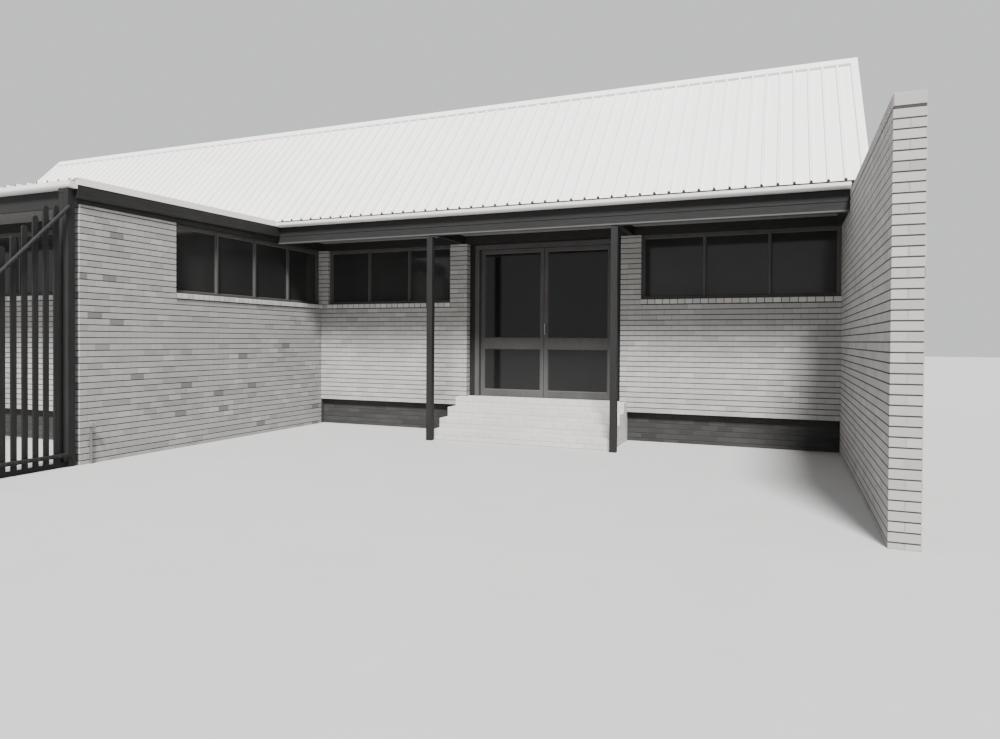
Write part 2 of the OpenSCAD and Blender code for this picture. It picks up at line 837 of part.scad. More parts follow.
module window_frames() {
    front_set = front_y + window_set;
    color(dark_timber) {
        frame_x(left_window, front_set, front_panes);
        frame_x(right_window, front_set, front_panes);
        for (x = [court_frame_x, end_frame_x])
            turned_to_side(x + window_d) frame_x(side_window, 0, side_panes);
        for (i = [0 : wing_windows - 1])
            frame_x(wing_opening(i), wing_front_y + window_set, side_panes);
        for (i = [0 : rear_windows - 1])
            frame_x(rear_opening(i), rear_frame_y, front_panes);
    }
}

module front_window_glass() {
    color(dark_glass) {
        panes_x(left_window, front_y + window_set, front_panes);
        panes_x(right_window, front_y + window_set, front_panes);
    }
}

module wing_window_glass() {
    color(dark_glass) {
        for (x = [court_frame_x, end_frame_x])
            turned_to_side(x + window_d) panes_x(side_window, 0, side_panes);
        for (i = [0 : wing_windows - 1])
            panes_x(wing_opening(i), wing_front_y + window_set, side_panes);
    }
}

module rear_window_glass() {
    color(dark_glass)
        for (i = [0 : rear_windows - 1])
            panes_x(rear_opening(i), rear_frame_y, front_panes);
}

// Outline of a flat board round an opening, open at the foot
module portal(x0, x1, y0, y1, z0, z1, side, head) {
    difference() {
        box(x0, x1, y0, y1, z0, z1);
        box(x0 + side, x1 - side, y0 - 1, y1 + 1, z0 - 1, z1 - head);
    }
}

// Dark lining between the brick piers and the door frame
module doorway_lining() {
    frame_x0 = left_hinge_x - door_gap - frame_w;
    color(dark_timber)
        portal(doorway_x0, doorway_x1, door_y + lining_set, front_y + wall_t, floor_z, wall_top,
            frame_x0 - doorway_x0, wall_top - frame_top);
}

module door_frame() {
    color(leaf_paint)
        portal(left_hinge_x - door_gap - frame_w, right_hinge_x + door_gap + frame_w,
            door_y, front_y + wall_t, floor_z, frame_top, frame_w, frame_w);
}

// Knuckle on the room side of the frame, carried by a plate on the frame's face
module hinge(x, side, z) {
    translate([x, hinge_y, z]) cylinder(r = hinge_r, h = hinge_l);
    box(side < 0 ? x - hinge_plate_w : x, side < 0 ? x : x + hinge_plate_w,
        front_y + wall_t, front_y + wall_t + hinge_plate_t, z, z + hinge_l);
}

module door_hinges() {
    color(bare_metal)
        for (z = [leaf_z + hinge_end, leaf_z + (leaf_h - hinge_l) / 2, leaf_top - hinge_end - hinge_l]) {
            hinge(left_hinge_x, -1, z);
            hinge(right_hinge_x, 1, z);
        }
}

upper_glass_z = leaf_z + mid_rail_z + mid_rail_h;

// Glazed leaf with a middle rail; x0 is its left edge
module leaf(x0) {
    difference() {
        box(x0, x0 + leaf_w, leaf_y, leaf_y + leaf_t, leaf_z, leaf_top);
        box(x0 + stile_w, x0 + leaf_w - stile_w, leaf_y - 1, leaf_y + leaf_t + 1,
            leaf_z + bottom_rail_h, leaf_z + mid_rail_z);
        box(x0 + stile_w, x0 + leaf_w - stile_w, leaf_y - 1, leaf_y + leaf_t + 1,
            upper_glass_z, leaf_top - stile_w);
    }
}

module leaf_glass(x0) {
    y0 = leaf_y + leaf_t / 2 - glass_t / 2;
    y1 = y0 + glass_t;
    color(dark_glass) {
        box(x0 + stile_w, x0 + leaf_w - stile_w, y0, y1, leaf_z + bottom_rail_h, leaf_z + mid_rail_z);
        box(x0 + stile_w, x0 + leaf_w - stile_w, y0, y1, upper_glass_z, leaf_top - stile_w);
    }
}

module left_door_leaf() {
    color(leaf_paint) leaf(left_hinge_x);
}

module left_door_glass() {
    leaf_glass(left_hinge_x);
}

module right_door_leaf() {
    color(leaf_paint) leaf(right_hinge_x - leaf_w);
}

module right_door_glass() {
    leaf_glass(right_hinge_x - leaf_w);
}

// Upright pull with two stubs, on the meeting stile of the right leaf
module right_door_handle() {
    x = right_hinge_x - leaf_w + handle_in;
    z = upper_glass_z + handle_above;
    color(bare_metal) {
        translate([x, leaf_y - handle_out, z]) cylinder(r = handle_r, h = handle_l);
        for (stub_z = [z + stub_end, z + handle_l - stub_end])
            translate([x, leaf_y, stub_z]) rotate([90, 0, 0]) cylinder(r = stub_r, h = handle_out);
    }
}

// Slatted screen in front of the wing: the slats' tops fall with the sloping rail
screen_y = wing_fascia_y - post_w;
screen_end_y = screen_y - screen_l;
slat_x = court_x - post_w / 2;
slat_count = floor((screen_l - post_w) / slat_pitch - 0.5);
function rail_z(y) = rail_start_z - (screen_y - y) * tan(rail_fall);
function slat_y(i) = screen_y - slat_pitch * (i + 1);
function slat_z(i) = min(slat_top, rail_z(slat_y(i)) + rail_drop);

module screen_slats() {
    color(dark_timber)
        for (i = [0 : slat_count - 1])
            along_x(slat_x - slat_t / 2, slat_x + slat_t / 2)
                union() {
                    translate([slat_y(i) - slat_w / 2, sole_h])
                        square([slat_w, slat_z(i) - sole_h - slat_w / 2]);
                    translate([slat_y(i), slat_z(i) - slat_w / 2]) circle(d = slat_w);
                }
}

// Sloping rail, bottom rail, sole rail and end post of the screen
module screen_rails() {
    x = slat_x + slat_t / 2 + rail_r;
    y1 = screen_y;
    y0 = screen_end_y + post_w;
    rail_l = (y1 - y0) / cos(rail_fall);
    color(dark_timber) {
        intersection() {
            translate([x, y1, rail_z(y1)])
                rotate([90 + rail_fall, 0, 0])
                    translate([0, 0, -post_w]) cylinder(r = rail_r, h = rail_l + 2 * post_w);
            box(x - rail_r - 1, x + rail_r + 1, y0, y1, 0, rail_start_z + post_w);
        }
        translate([x, y1, bottom_rail_z]) rotate([90, 0, 0]) cylinder(r = rail_r, h = y1 - y0);
        box(slat_x - slat_t / 2, slat_x + slat_t / 2, y0, y1, 0, sole_h);
        box(slat_x - post_w / 2, slat_x + post_w / 2, screen_end_y, y0, 0, rail_z(y0) + rail_drop);
    }
}

// Garden tap on a short pipe that stands beside the wing's court wall, with an arm into the wall
module garden_tap() {
    x = court_x + tap_from_wall;
    y = wing_y + tap_from_end;
    spout_x = x + tap_spout;
    color(bare_metal) {
        translate([x, y, 0]) cylinder(r = tap_r, h = tap_h);
        translate([court_x, y, tap_h - tap_r]) rotate([0, 90, 0])
            cylinder(r = tap_r, h = tap_from_wall + tap_spout + spout_r);
        translate([spout_x, y, tap_h - tap_r - tap_drop]) cylinder(r = spout_r, h = tap_drop);
    }
}

front_wall_left();
front_wall_right();
wing_court_wall();
wing_front_wall();
wing_end_wall();
left_gable_wall();
right_gable_wall();
court_side_wall();
rear_wall();
base_walls();
window_sills();
main_floor();
wing_floor();
entrance_step(1);  // entrance_step_1
entrance_step(2);  // entrance_step_2
entrance_step(3);  // entrance_step_3
entrance_step(4);  // entrance_step_4
eave_posts();
head_beams();
wing_side_beams();
cross_beams();
eave_beams();
wing_curb();
eave_strips();
front_fascia();
wing_fascia();
rear_fascia();
soffits();
front_roof_slope();
roof_deck();
rear_roof_slope();
wing_roof();
roof_cappings();
front_gutter();
rear_gutter();
wing_gutter();
wing_downpipe();
window_frames();
front_window_glass();
wing_window_glass();
rear_window_glass();
doorway_lining();
door_frame();
door_hinges();
left_door_leaf();
left_door_glass();
right_door_leaf();
right_door_glass();
right_door_handle();
screen_slats();
screen_rails();
garden_tap();
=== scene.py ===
# Looks of a single-storey school block in light brick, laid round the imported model.
import math
import random

import bmesh
import bpy
from mathutils import Matrix, Vector


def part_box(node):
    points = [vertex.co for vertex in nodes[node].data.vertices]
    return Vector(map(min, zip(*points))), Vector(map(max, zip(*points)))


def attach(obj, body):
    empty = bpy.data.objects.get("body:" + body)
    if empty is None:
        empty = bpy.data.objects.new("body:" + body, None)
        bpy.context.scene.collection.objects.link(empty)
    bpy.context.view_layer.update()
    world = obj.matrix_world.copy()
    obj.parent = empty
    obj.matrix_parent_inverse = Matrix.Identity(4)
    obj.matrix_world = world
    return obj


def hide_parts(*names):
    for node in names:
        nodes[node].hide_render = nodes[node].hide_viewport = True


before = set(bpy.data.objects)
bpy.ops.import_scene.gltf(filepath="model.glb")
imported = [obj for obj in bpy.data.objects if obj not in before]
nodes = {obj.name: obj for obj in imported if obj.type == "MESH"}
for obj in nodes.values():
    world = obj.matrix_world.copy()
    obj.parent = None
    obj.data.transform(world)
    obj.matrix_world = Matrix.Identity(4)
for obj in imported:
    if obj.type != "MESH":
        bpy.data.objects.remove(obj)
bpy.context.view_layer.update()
scene = bpy.context.scene
chance = random.Random(7)

# Places of the walls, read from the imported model
left_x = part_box("left_gable_wall")[0].x
right_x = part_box("court_side_wall")[1].x
court_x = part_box("wing_court_wall")[1].x
court_in_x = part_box("wing_court_wall")[0].x
court_right_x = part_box("court_side_wall")[0].x
end_in_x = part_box("wing_end_wall")[1].x
wing_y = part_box("wing_court_wall")[0].y
wing_front_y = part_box("wing_front_wall")[0].y
front_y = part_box("front_wall_left")[0].y
rear_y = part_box("rear_wall")[1].y
left_shoulder_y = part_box("left_gable_wall")[0].y
right_shoulder_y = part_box("right_gable_wall")[0].y
doorway_x0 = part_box("front_wall_left")[1].x
doorway_x1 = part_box("front_wall_right")[0].x
base_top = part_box("base_walls")[1].z
floor_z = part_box("main_floor")[1].z
sill_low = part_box("window_sills")[0].z
sill_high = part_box("window_sills")[1].z
wall_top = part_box("front_wall_left")[1].z
beam_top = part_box("head_beams")[1].z
court_wall_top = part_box("court_side_wall")[1].z
door_frame_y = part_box("door_frame")[0].y
lining_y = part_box("doorway_lining")[0].y
mid_y = (front_y + rear_y) / 2
wall_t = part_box("front_wall_left")[1].y - front_y

# Lower edges, ribs and fold of the roof sheets
rib_pitch = 0.207
rib_foot = 0.050
rib_top = 0.024
rib_rise = 0.040
drip = 0.040
gutter_drop = 0.020
wing_gutter_drop = 0.025
sheet_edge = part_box("front_fascia")[0].y - drip
eave_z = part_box("front_gutter")[1].z + gutter_drop
ridge_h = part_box("roof_deck")[1].z - rib_rise
diagonal = math.sqrt(0.5)

# Brickwork sizes
course = 0.086
brick_l = 0.230
brick_h = 0.073
half_l = 0.110
joint = 0.010
proud = 0.005
joint_sunk = 0.0008
sunk = 0.002
chamfer = 0.0022
least_end = 0.055
least_height = 0.012
least_run = 0.020
least_brick = 0.050

# Slack for comparing places, and the gap at which points are merged
slack = 0.001
merge_gap = 0.00001


def pick(sockets, name):
    """The socket of that name which is in use."""
    for one in sockets:
        if one.name == name and one.enabled:
            return one
    raise KeyError(name)


def feed(tree, socket, value):
    """Links another node's socket to an input, or sets the input's value."""
    if isinstance(value, bpy.types.NodeSocket):
        tree.links.new(value, socket)
    else:
        socket.default_value = value


def node(tree, kind, inputs=None, **settings):
    """A node with its settings, and its inputs set or linked."""
    made = tree.nodes.new(kind)
    for key, value in settings.items():
        setattr(made, key, value)
    for key, value in (inputs or {}).items():
        feed(tree, pick(made.inputs, key), value)
    return made


def maths(tree, operation, first, second=0.0, kind="ShaderNodeMath"):
    """The result of one operation on two numbers or sockets."""
    made = node(tree, kind, operation=operation)
    feed(tree, made.inputs[0], first)
    feed(tree, made.inputs[1], second)
    return made.outputs[0]


# Finishes


def grey(value, warmth=0.03):
    """A near-neutral colour, slightly warm."""
    return (value, value * (1 - warmth / 2), value * (1 - warmth), 1)


def shades(*pairs):
    """Colour stops from pairs of place and grey."""
    return [(place, grey(value)) for place, value in pairs]


def blank(name, roughness, metallic=0.0):
    """A new material with its tree and its shader."""
    finish = bpy.data.materials.new(name)
    finish.use_nodes = True
    shader = finish.node_tree.nodes["Principled BSDF"]
    shader.inputs["Roughness"].default_value = roughness
    shader.inputs["Metallic"].default_value = metallic
    return finish, finish.node_tree, shader


def noise(tree, scale, stretch=(1, 1, 1), detail=3.0):
    """Noise on the piece's own coordinates."""
    place = node(tree, "ShaderNodeTexCoord").outputs["Object"]
    mapped = node(tree, "ShaderNodeMapping", {"Vector": place, "Scale": stretch})
    made = node(tree, "ShaderNodeTexNoise",
                {"Vector": mapped.outputs["Vector"], "Scale": scale, "Detail": detail})
    return made.outputs[0]


def ramp(tree, factor, stops):
    """Colours along a factor; stops are pairs of place and colour."""
    made = node(tree, "ShaderNodeValToRGB", {"Fac": factor})
    elements = made.color_ramp.elements
    elements[0].position = stops[0][0]
    elements[0].color = stops[0][1]
    elements[1].position = stops[-1][0]
    elements[1].color = stops[-1][1]
    for place, colour in stops[1:-1]:
        elements.new(place).color = colour
    return made.outputs["Color"]


def mixed(tree, factor, colour_a, colour_b, blend="MIX"):
    """Two colours mixed, or multiplied, by a factor."""
    made = node(tree, "ShaderNodeMix", {"Factor": factor, "A": colour_a, "B": colour_b},
                data_type="RGBA", blend_type=blend)
    return pick(made.outputs, "Result")


def times(tree, colour_a, colour_b, amount=1.0):
    return mixed(tree, amount, colour_a, colour_b, "MULTIPLY")


def relief(tree, shader, height, strength, distance):
    """Fine bumps on the surface."""
    made = node(tree, "ShaderNodeBump", {"Height": height, "Strength": strength, "Distance": distance})
    tree.links.new(made.outputs["Normal"], shader.inputs["Normal"])


def set_colour(tree, shader, colour):
    tree.links.new(colour, shader.inputs["Base Color"])


def brick_finish(name, stops, grain=0.5):
    """Brick whose tone differs from brick to brick, with a sandy face."""
    finish, tree, shader = blank(name, 0.9)
    tone = node(tree, "ShaderNodeAttribute", attribute_name="tone").outputs["Fac"]
    body = ramp(tree, tone, shades(*stops))
    cloud = ramp(tree, noise(tree, 1.1, detail=5.0), shades((0.3, 0.88), (0.7, 1.0)))
    speck = ramp(tree, noise(tree, 160.0, detail=2.0), shades((0.32, 0.72), (0.48, 1.0)))
    set_colour(tree, shader, times(tree, times(tree, body, cloud), speck, grain))
    relief(tree, shader, noise(tree, 240.0, detail=4.0), 0.5, 0.0012)
    return finish


def rooms_mask(tree):
    """One on the room side of the walls, zero outside."""
    place = node(tree, "ShaderNodeTexCoord").outputs["Object"]
    parts = node(tree, "ShaderNodeSeparateXYZ", {"Vector": place}).outputs
    overlap = 0.010
    margin = 0.003
    main_room = ((end_in_x, court_right_x), (front_y + wall_t, rear_y - wall_t))
    wing_room = ((end_in_x, court_in_x), (wing_front_y + wall_t, front_y + wall_t + overlap))
    masks = []
    for sides in (main_room, wing_room):
        inside = []
        for axis, (start, stop) in zip("XY", sides):
            from_middle = maths(tree, "ABSOLUTE", maths(tree, "SUBTRACT", parts[axis], (start + stop) / 2))
            inside.append(maths(tree, "LESS_THAN", from_middle, (stop - start) / 2 + margin))
        masks.append(maths(tree, "MULTIPLY", *inside))
    return maths(tree, "MAXIMUM", *masks)


def wall_finish():
    """Raked mortar outside, its dark grey partly own colour and partly painted shade in the raked joints
    and under the sills, and pale plaster in the rooms.
    """
    finish, tree, shader = blank("dark_joints_painted_shade", 0.95)
    grit = noise(tree, 90.0, detail=4.0)
    # Mortar grey made darker than its own colour: painted shade in the raked joints
    joint_colour_and_shade = ramp(tree, grit, shades((0.3, 0.022), (0.7, 0.045)))
    plaster = ramp(tree, noise(tree, 3.0, detail=5.0), shades((0.3, 0.60), (0.7, 0.66)))
    set_colour(tree, shader, mixed(tree, rooms_mask(tree), joint_colour_and_shade, plaster))
    relief(tree, shader, grit, 0.4, 0.001)
    return finish


def timber_finish(name, along, dark=0.010, light=0.021):
    """Dark stained or painted timber with its grain along one axis."""
    finish, tree, shader = blank(name, 0.68)
    shader.inputs["Specular IOR Level"].default_value = 0.25
    stretch = [1.0, 1.0, 1.0]
    stretch["xyz".index(along)] = 0.035
    fibre = noise(tree, 95.0, stretch, detail=5.0)
    grain = ramp(tree, fibre, shades((0.30, dark), (0.72, light)))
    fade = ramp(tree, noise(tree, 1.7), shades((0.3, 0.8), (0.7, 1.0)))
    set_colour(tree, shader, times(tree, grain, fade))
    relief(tree, shader, fibre, 0.35, 0.001)
    return finish


def sheet_finish(name, low, high, roughness, along):
    """Painted sheet metal with faint rain streaks down its length."""
    finish, tree, shader = blank(name, roughness)
    body = ramp(tree, noise(tree, 14.0, along, detail=5.0), shades((0.32, low), (0.62, high)))
    fade = ramp(tree, noise(tree, 0.9, detail=4.0), shades((0.3, 0.95), (0.7, 1.0)))
    set_colour(tree, shader, times(tree, body, fade))
    relief(tree, shader, noise(tree, 3.0, detail=2.0), 0.15, 0.002)
    return finish


def stone_finish(name, low, high, scale=22.0):
    """Matt masonry or concrete, mottled and slightly rough."""
    finish, tree, shader = blank(name, 0.9)
    body = ramp(tree, noise(tree, scale, detail=6.0), shades((0.3, low), (0.7, high)))
    patch = ramp(tree, noise(tree, 1.3), shades((0.3, 0.82), (0.7, 1.0)))
    set_colour(tree, shader, times(tree, body, patch))
    relief(tree, shader, noise(tree, 140.0, detail=4.0), 0.4, 0.001)
    return finish


def glass_finish(name, low, high):
    """Opaque glossy glass, very slightly wavy, whose dark colour is painted shade of the unlit room behind
    it and painted reflection of dark surroundings.
    """
    finish, tree, shader = blank(name, 0.07)
    set_colour(tree, shader, ramp(tree, noise(tree, 0.8, detail=2.0), shades((0.3, low), (0.7, high))))
    shader.inputs["IOR"].default_value = 1.45
    shader.inputs["Specular IOR Level"].default_value = 0.35
    relief(tree, shader, noise(tree, 1.6, detail=1.0), 0.25, 0.004)
    return finish


def metal_finish(name, colour, roughness, stretch):
    """Brushed or dull bare metal."""
    finish, tree, shader = blank(name, roughness, 1.0)
    brushed = noise(tree, 180.0, stretch, detail=4.0)
    dull = tuple(part * 0.72 for part in colour) + (1,)
    set_colour(tree, shader, ramp(tree, brushed, [(0.3, dull), (0.7, tuple(colour) + (1,))]))
    relief(tree, shader, brushed, 0.15, 0.0006)
    return finish


brick = brick_finish("light_brick", [
    (0.0, 0.150), (0.026, 0.170), (0.036, 0.255), (0.16, 0.285),
    (0.20, 0.308), (0.82, 0.328), (0.94, 0.348), (1.0, 0.400)
])
even_brick = brick_finish("even_brick", [
    (0.0, 0.270), (0.08, 0.292), (0.3, 0.315), (0.8, 0.330), (0.95, 0.348), (1.0, 0.380)
])
sill_brick = brick_finish("sill_brick", [(0.0, 0.40), (0.12, 0.43), (0.6, 0.47), (1.0, 0.53)])
step_brick = brick_finish("step_brick", [(0.0, 0.46), (0.15, 0.475), (0.6, 0.49), (1.0, 0.51)], 0.6)
base_brick = brick_finish("base_brick", [(0.0, 0.018), (0.5, 0.025), (1.0, 0.033)])
flush_joint = stone_finish("flush_joint", 0.26, 0.31, 70.0)
step_joint = stone_finish("step_joint", 0.36, 0.42, 70.0)
dark_joints_painted_shade = wall_finish()
dark_masonry = stone_finish("dark_masonry", 0.022, 0.032)
concrete = stone_finish("concrete", 0.28, 0.36)
timber_x = timber_finish("timber_along_front", "x")
timber_y = timber_finish("timber_along_side", "y")
timber_z = timber_finish("timber_upright", "z", 0.008, 0.017)
door_paint = timber_finish("door_paint", "z", 0.056, 0.076)
white_sheet = sheet_finish("white_sheet", 0.80, 0.83, 0.5, (1.0, 0.05, 0.05))
pale_trim = sheet_finish("pale_trim", 0.64, 0.72, 0.45, (0.2, 1.0, 1.0))
soffit_paint = sheet_finish("soffit_paint", 0.15, 0.18, 0.7, (1.0, 1.0, 1.0))
strip_paint = sheet_finish("strip_paint", 0.045, 0.058, 0.6, (0.2, 1.0, 1.0))
# Painted shade: near-black strips for the shadow gap under the sheets' pans
gap_shade_paint = stone_finish("gap_shade_paint", 0.010, 0.018)
# Painted shade: dark patches for the insides of the open rib ends
rib_end_shade_paint = stone_finish("rib_end_shade_paint", 0.050, 0.075)
# Painted shade and painted reflection in the glass; the door glass is set darker to offset the light
# falling on the doors
dark_glass = glass_finish("dark_glass", 0.019, 0.027)
door_glass = glass_finish("door_glass", 0.006, 0.009)
bare_metal = metal_finish("bare_metal", (0.42, 0.41, 0.40), 0.30, (1, 1, 0.05))
tap_metal = metal_finish("tap_metal", (0.34, 0.33, 0.31), 0.45, (1, 1, 1))
bolt_metal = metal_finish("bolt_metal", (0.07, 0.068, 0.065), 0.55, (1, 1, 1))

finish_of = {
    # Walls and sills take the dark mortar with painted shade in the raked joints and under the sills
    dark_joints_painted_shade: "front_wall_left front_wall_right wing_court_wall wing_front_wall wing_end_wall "
                  "left_gable_wall right_gable_wall court_side_wall rear_wall window_sills",
    step_joint: "entrance_step_1 entrance_step_2 entrance_step_3 entrance_step_4",
    dark_masonry: "base_walls",
    concrete: "main_floor wing_floor",
    timber_x: "head_beams eave_beams wing_curb front_fascia rear_fascia",
    timber_y: "wing_side_beams cross_beams wing_fascia",
    timber_z: "eave_posts doorway_lining screen_slats screen_rails wing_downpipe",
    white_sheet: "front_roof_slope roof_deck rear_roof_slope wing_roof roof_cappings",
    strip_paint: "eave_strips",
    pale_trim: "front_gutter rear_gutter wing_gutter",
    soffit_paint: "soffits",
    door_paint: "door_frame left_door_leaf right_door_leaf window_frames",
    # Glass darkened as painted shade and painted reflection
    dark_glass: "front_window_glass wing_window_glass rear_window_glass",
    door_glass: "left_door_glass right_door_glass",
    bare_metal: "door_hinges right_door_handle",
    tap_metal: "garden_tap",
}
for finish, names in finish_of.items():
    for name in names.split():
        part = nodes[name]
        if part.material_slots:
            part.material_slots[0].material = finish
        else:
            part.data.materials.append(finish)


# Making and placing pieces


def keep_piece(name, mesh, finish, body="building"):
    """A finished piece at the origin, with its finish and the body it rides on."""
    piece = bpy.data.objects.new(name, mesh)
    scene.collection.objects.link(piece)
    mesh.materials.clear()
    mesh.materials.append(finish)
    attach(piece, body)
    return piece


def solid_mesh(name, points, faces):
    """A mesh whose faces all point outwards."""
    mesh = bpy.data.meshes.new(name)
    mesh.from_pydata(points, [], faces)
    work = bmesh.new()
    work.from_mesh(mesh)
    bmesh.ops.recalc_face_normals(work, faces=work.faces)
    work.to_mesh(mesh)
    work.free()
    mesh.update()
    return mesh


# Meshes that stand for nodes, by the node's name
shown = {}


def solids(name):
    """Lowest and highest corners of each separate solid in a node, as it is shown."""
    work = bmesh.new()
    work.from_mesh(shown.get(name, nodes[name].data))
    bmesh.ops.remove_doubles(work, verts=work.verts, dist=merge_gap)
    seen = set()
    found = []
    for start in work.verts:
        if start in seen:
            continue
        seen.add(start)
        stack = [start]
        points = []
        while stack:
            here = stack.pop()
            points.append(here.co.copy())
            for edge in here.link_edges:
                other = edge.other_vert(here)
                if other not in seen:
                    seen.add(other)
                    stack.append(other)
        low = Vector([min(point[i] for point in points) for i in range(3)])
        high = Vector([max(point[i] for point in points) for i in range(3)])
        found.append((low, high))
    work.free()
    return found


def reshaped(name, new_name, move, body="building"):
    """A copy of a node with its points moved, which stands for the node."""
    work = bmesh.new()
    work.from_mesh(nodes[name].data)
    bmesh.ops.remove_doubles(work, verts=work.verts, dist=merge_gap)
    for point in work.verts:
        point.co = move(point.co)
    mesh = bpy.data.meshes.new(new_name)
    work.to_mesh(mesh)
    work.free()
    piece = keep_piece(new_name, mesh, nodes[name].material_slots[0].material, body)
    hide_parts(name)
    shown[name] = mesh


def between(value, stops):
    """A place moved by pairs of old and new places, in step between them."""
    for (old_a, new_a), (old_b, new_b) in zip(stops, stops[1:]):
        if value <= old_b or (old_b, new_b) == stops[-1]:
            return new_a + (value - old_a) * (new_b - new_a) / (old_b - old_a)
    return value


def moved_in_height(name, new_name, stops):
    """A node with its heights moved by pairs of old and new ones."""
    reshaped(name, new_name, lambda co: Vector((co.x, co.y, between(co.z, stops))))


def rectangle(start, stop, low, high):
    """Corners of a rectangle, or of a ring's section given by radius and height."""
    return [(start, low), (stop, low), (stop, high), (start, high)]


def band(first, second, count):
    """Faces between two rings of points, given by the number of each ring's first point."""
    return [[first + i, first + (i + 1) % count, second + (i + 1) % count, second + i]
            for i in range(count)]


class Shape:
    """Points and faces of several closed forms that become one mesh."""

    def __init__(self):
        self.points = []
        self.faces = []
        self.tones = []

    def add(self, points, faces, tone=0.5):
        start = len(self.points)
        self.points += [tuple(point) for point in points]
        self.faces += [[start + i for i in face] for face in faces]
        self.tones += [tone] * len(points)

    def prism(self, outline, place, tone=0.5):
        """Outline of pairs swept between two ends; place turns (u, v, end) into a point."""
        count = len(outline)
        points = [place(u, v, end) for end in (0, 1) for u, v in outline]
        caps = [list(range(count)), list(range(count, 2 * count))]
        self.add(points, caps + band(0, count, count), tone)

    def box(self, low, high):
        outline = rectangle(low[0], high[0], low[1], high[1])
        self.prism(outline, lambda u, v, end: (u, v, (low[2], high[2])[end]))

    def tube(self, start, stop, radius, sides=12):
        start = Vector(start)
        along = Vector(stop) - start
        turn = along.to_track_quat("Z", "Y")
        angles = [2 * math.pi * i / sides for i in range(sides)]
        ring = [(radius * math.cos(angle), radius * math.sin(angle)) for angle in angles]
        self.prism(ring, lambda u, v, end: start + along * end + turn @ Vector((u, v, 0)))

    def lathe(self, profile, centre, axis=(0, 0, 1), sides=20):
        """Closed profile of (radius, height) pairs turned round an axis."""
        centre = Vector(centre)
        turn = Vector(axis).to_track_quat("Z", "Y")
        count = len(profile)
        points = []
        faces = []
        for i in range(sides):
            angle = 2 * math.pi * i / sides
            for radius, height in profile:
                spoke = Vector((radius * math.cos(angle), radius * math.sin(angle), height))
                points.append(centre + turn @ spoke)
            faces += band(i * count, (i + 1) % sides * count, count)
        self.add(points, faces)

    def mesh(self, name):
        made = solid_mesh(name, self.points, self.faces)
        layer = made.attributes.new("tone", "FLOAT", "POINT")
        layer.data.foreach_set("value", self.tones)
        return made

    def keep(self, name, finish, slot, body="building"):
        keep_piece(name, self.mesh(name), finish, body)


# Patterns that are laid many times
patterns = []
square = ((-1, -1), (1, -1), (1, 1), (-1, 1))


def pattern_object(name, rings):
    """A closed form from rings of (half length, half height, depth), front towards -Y."""
    points = [(sx * x, y, sz * z) for x, z, y in rings for sx, sz in square]
    last = 4 * (len(rings) - 1)
    faces = [list(range(4)), list(range(last, last + 4))]
    for ring in range(0, last, 4):
        faces += band(ring, ring + 4, 4)
    pattern = bpy.data.objects.new(name, solid_mesh(name, points, faces))
    scene.collection.objects.link(pattern)
    patterns.append(pattern)
    return pattern


def slip_pattern(name, length, height, front, edge):
    """One brick face, a closed slip with chamfered front edges, and its full size."""
    x = length / 2
    z = height / 2
    rings = [(x, z, sunk), (x, z, edge - front), (x - edge, z - edge, -front)]
    return pattern_object(name, rings), (length, front, height)


def plain_pattern(name, length, height, front):
    """One upright joint between bricks, and its full size."""
    rings = [(length / 2, height / 2, sunk), (length / 2, height / 2, -front)]
    return pattern_object(name, rings), (length, front, height)


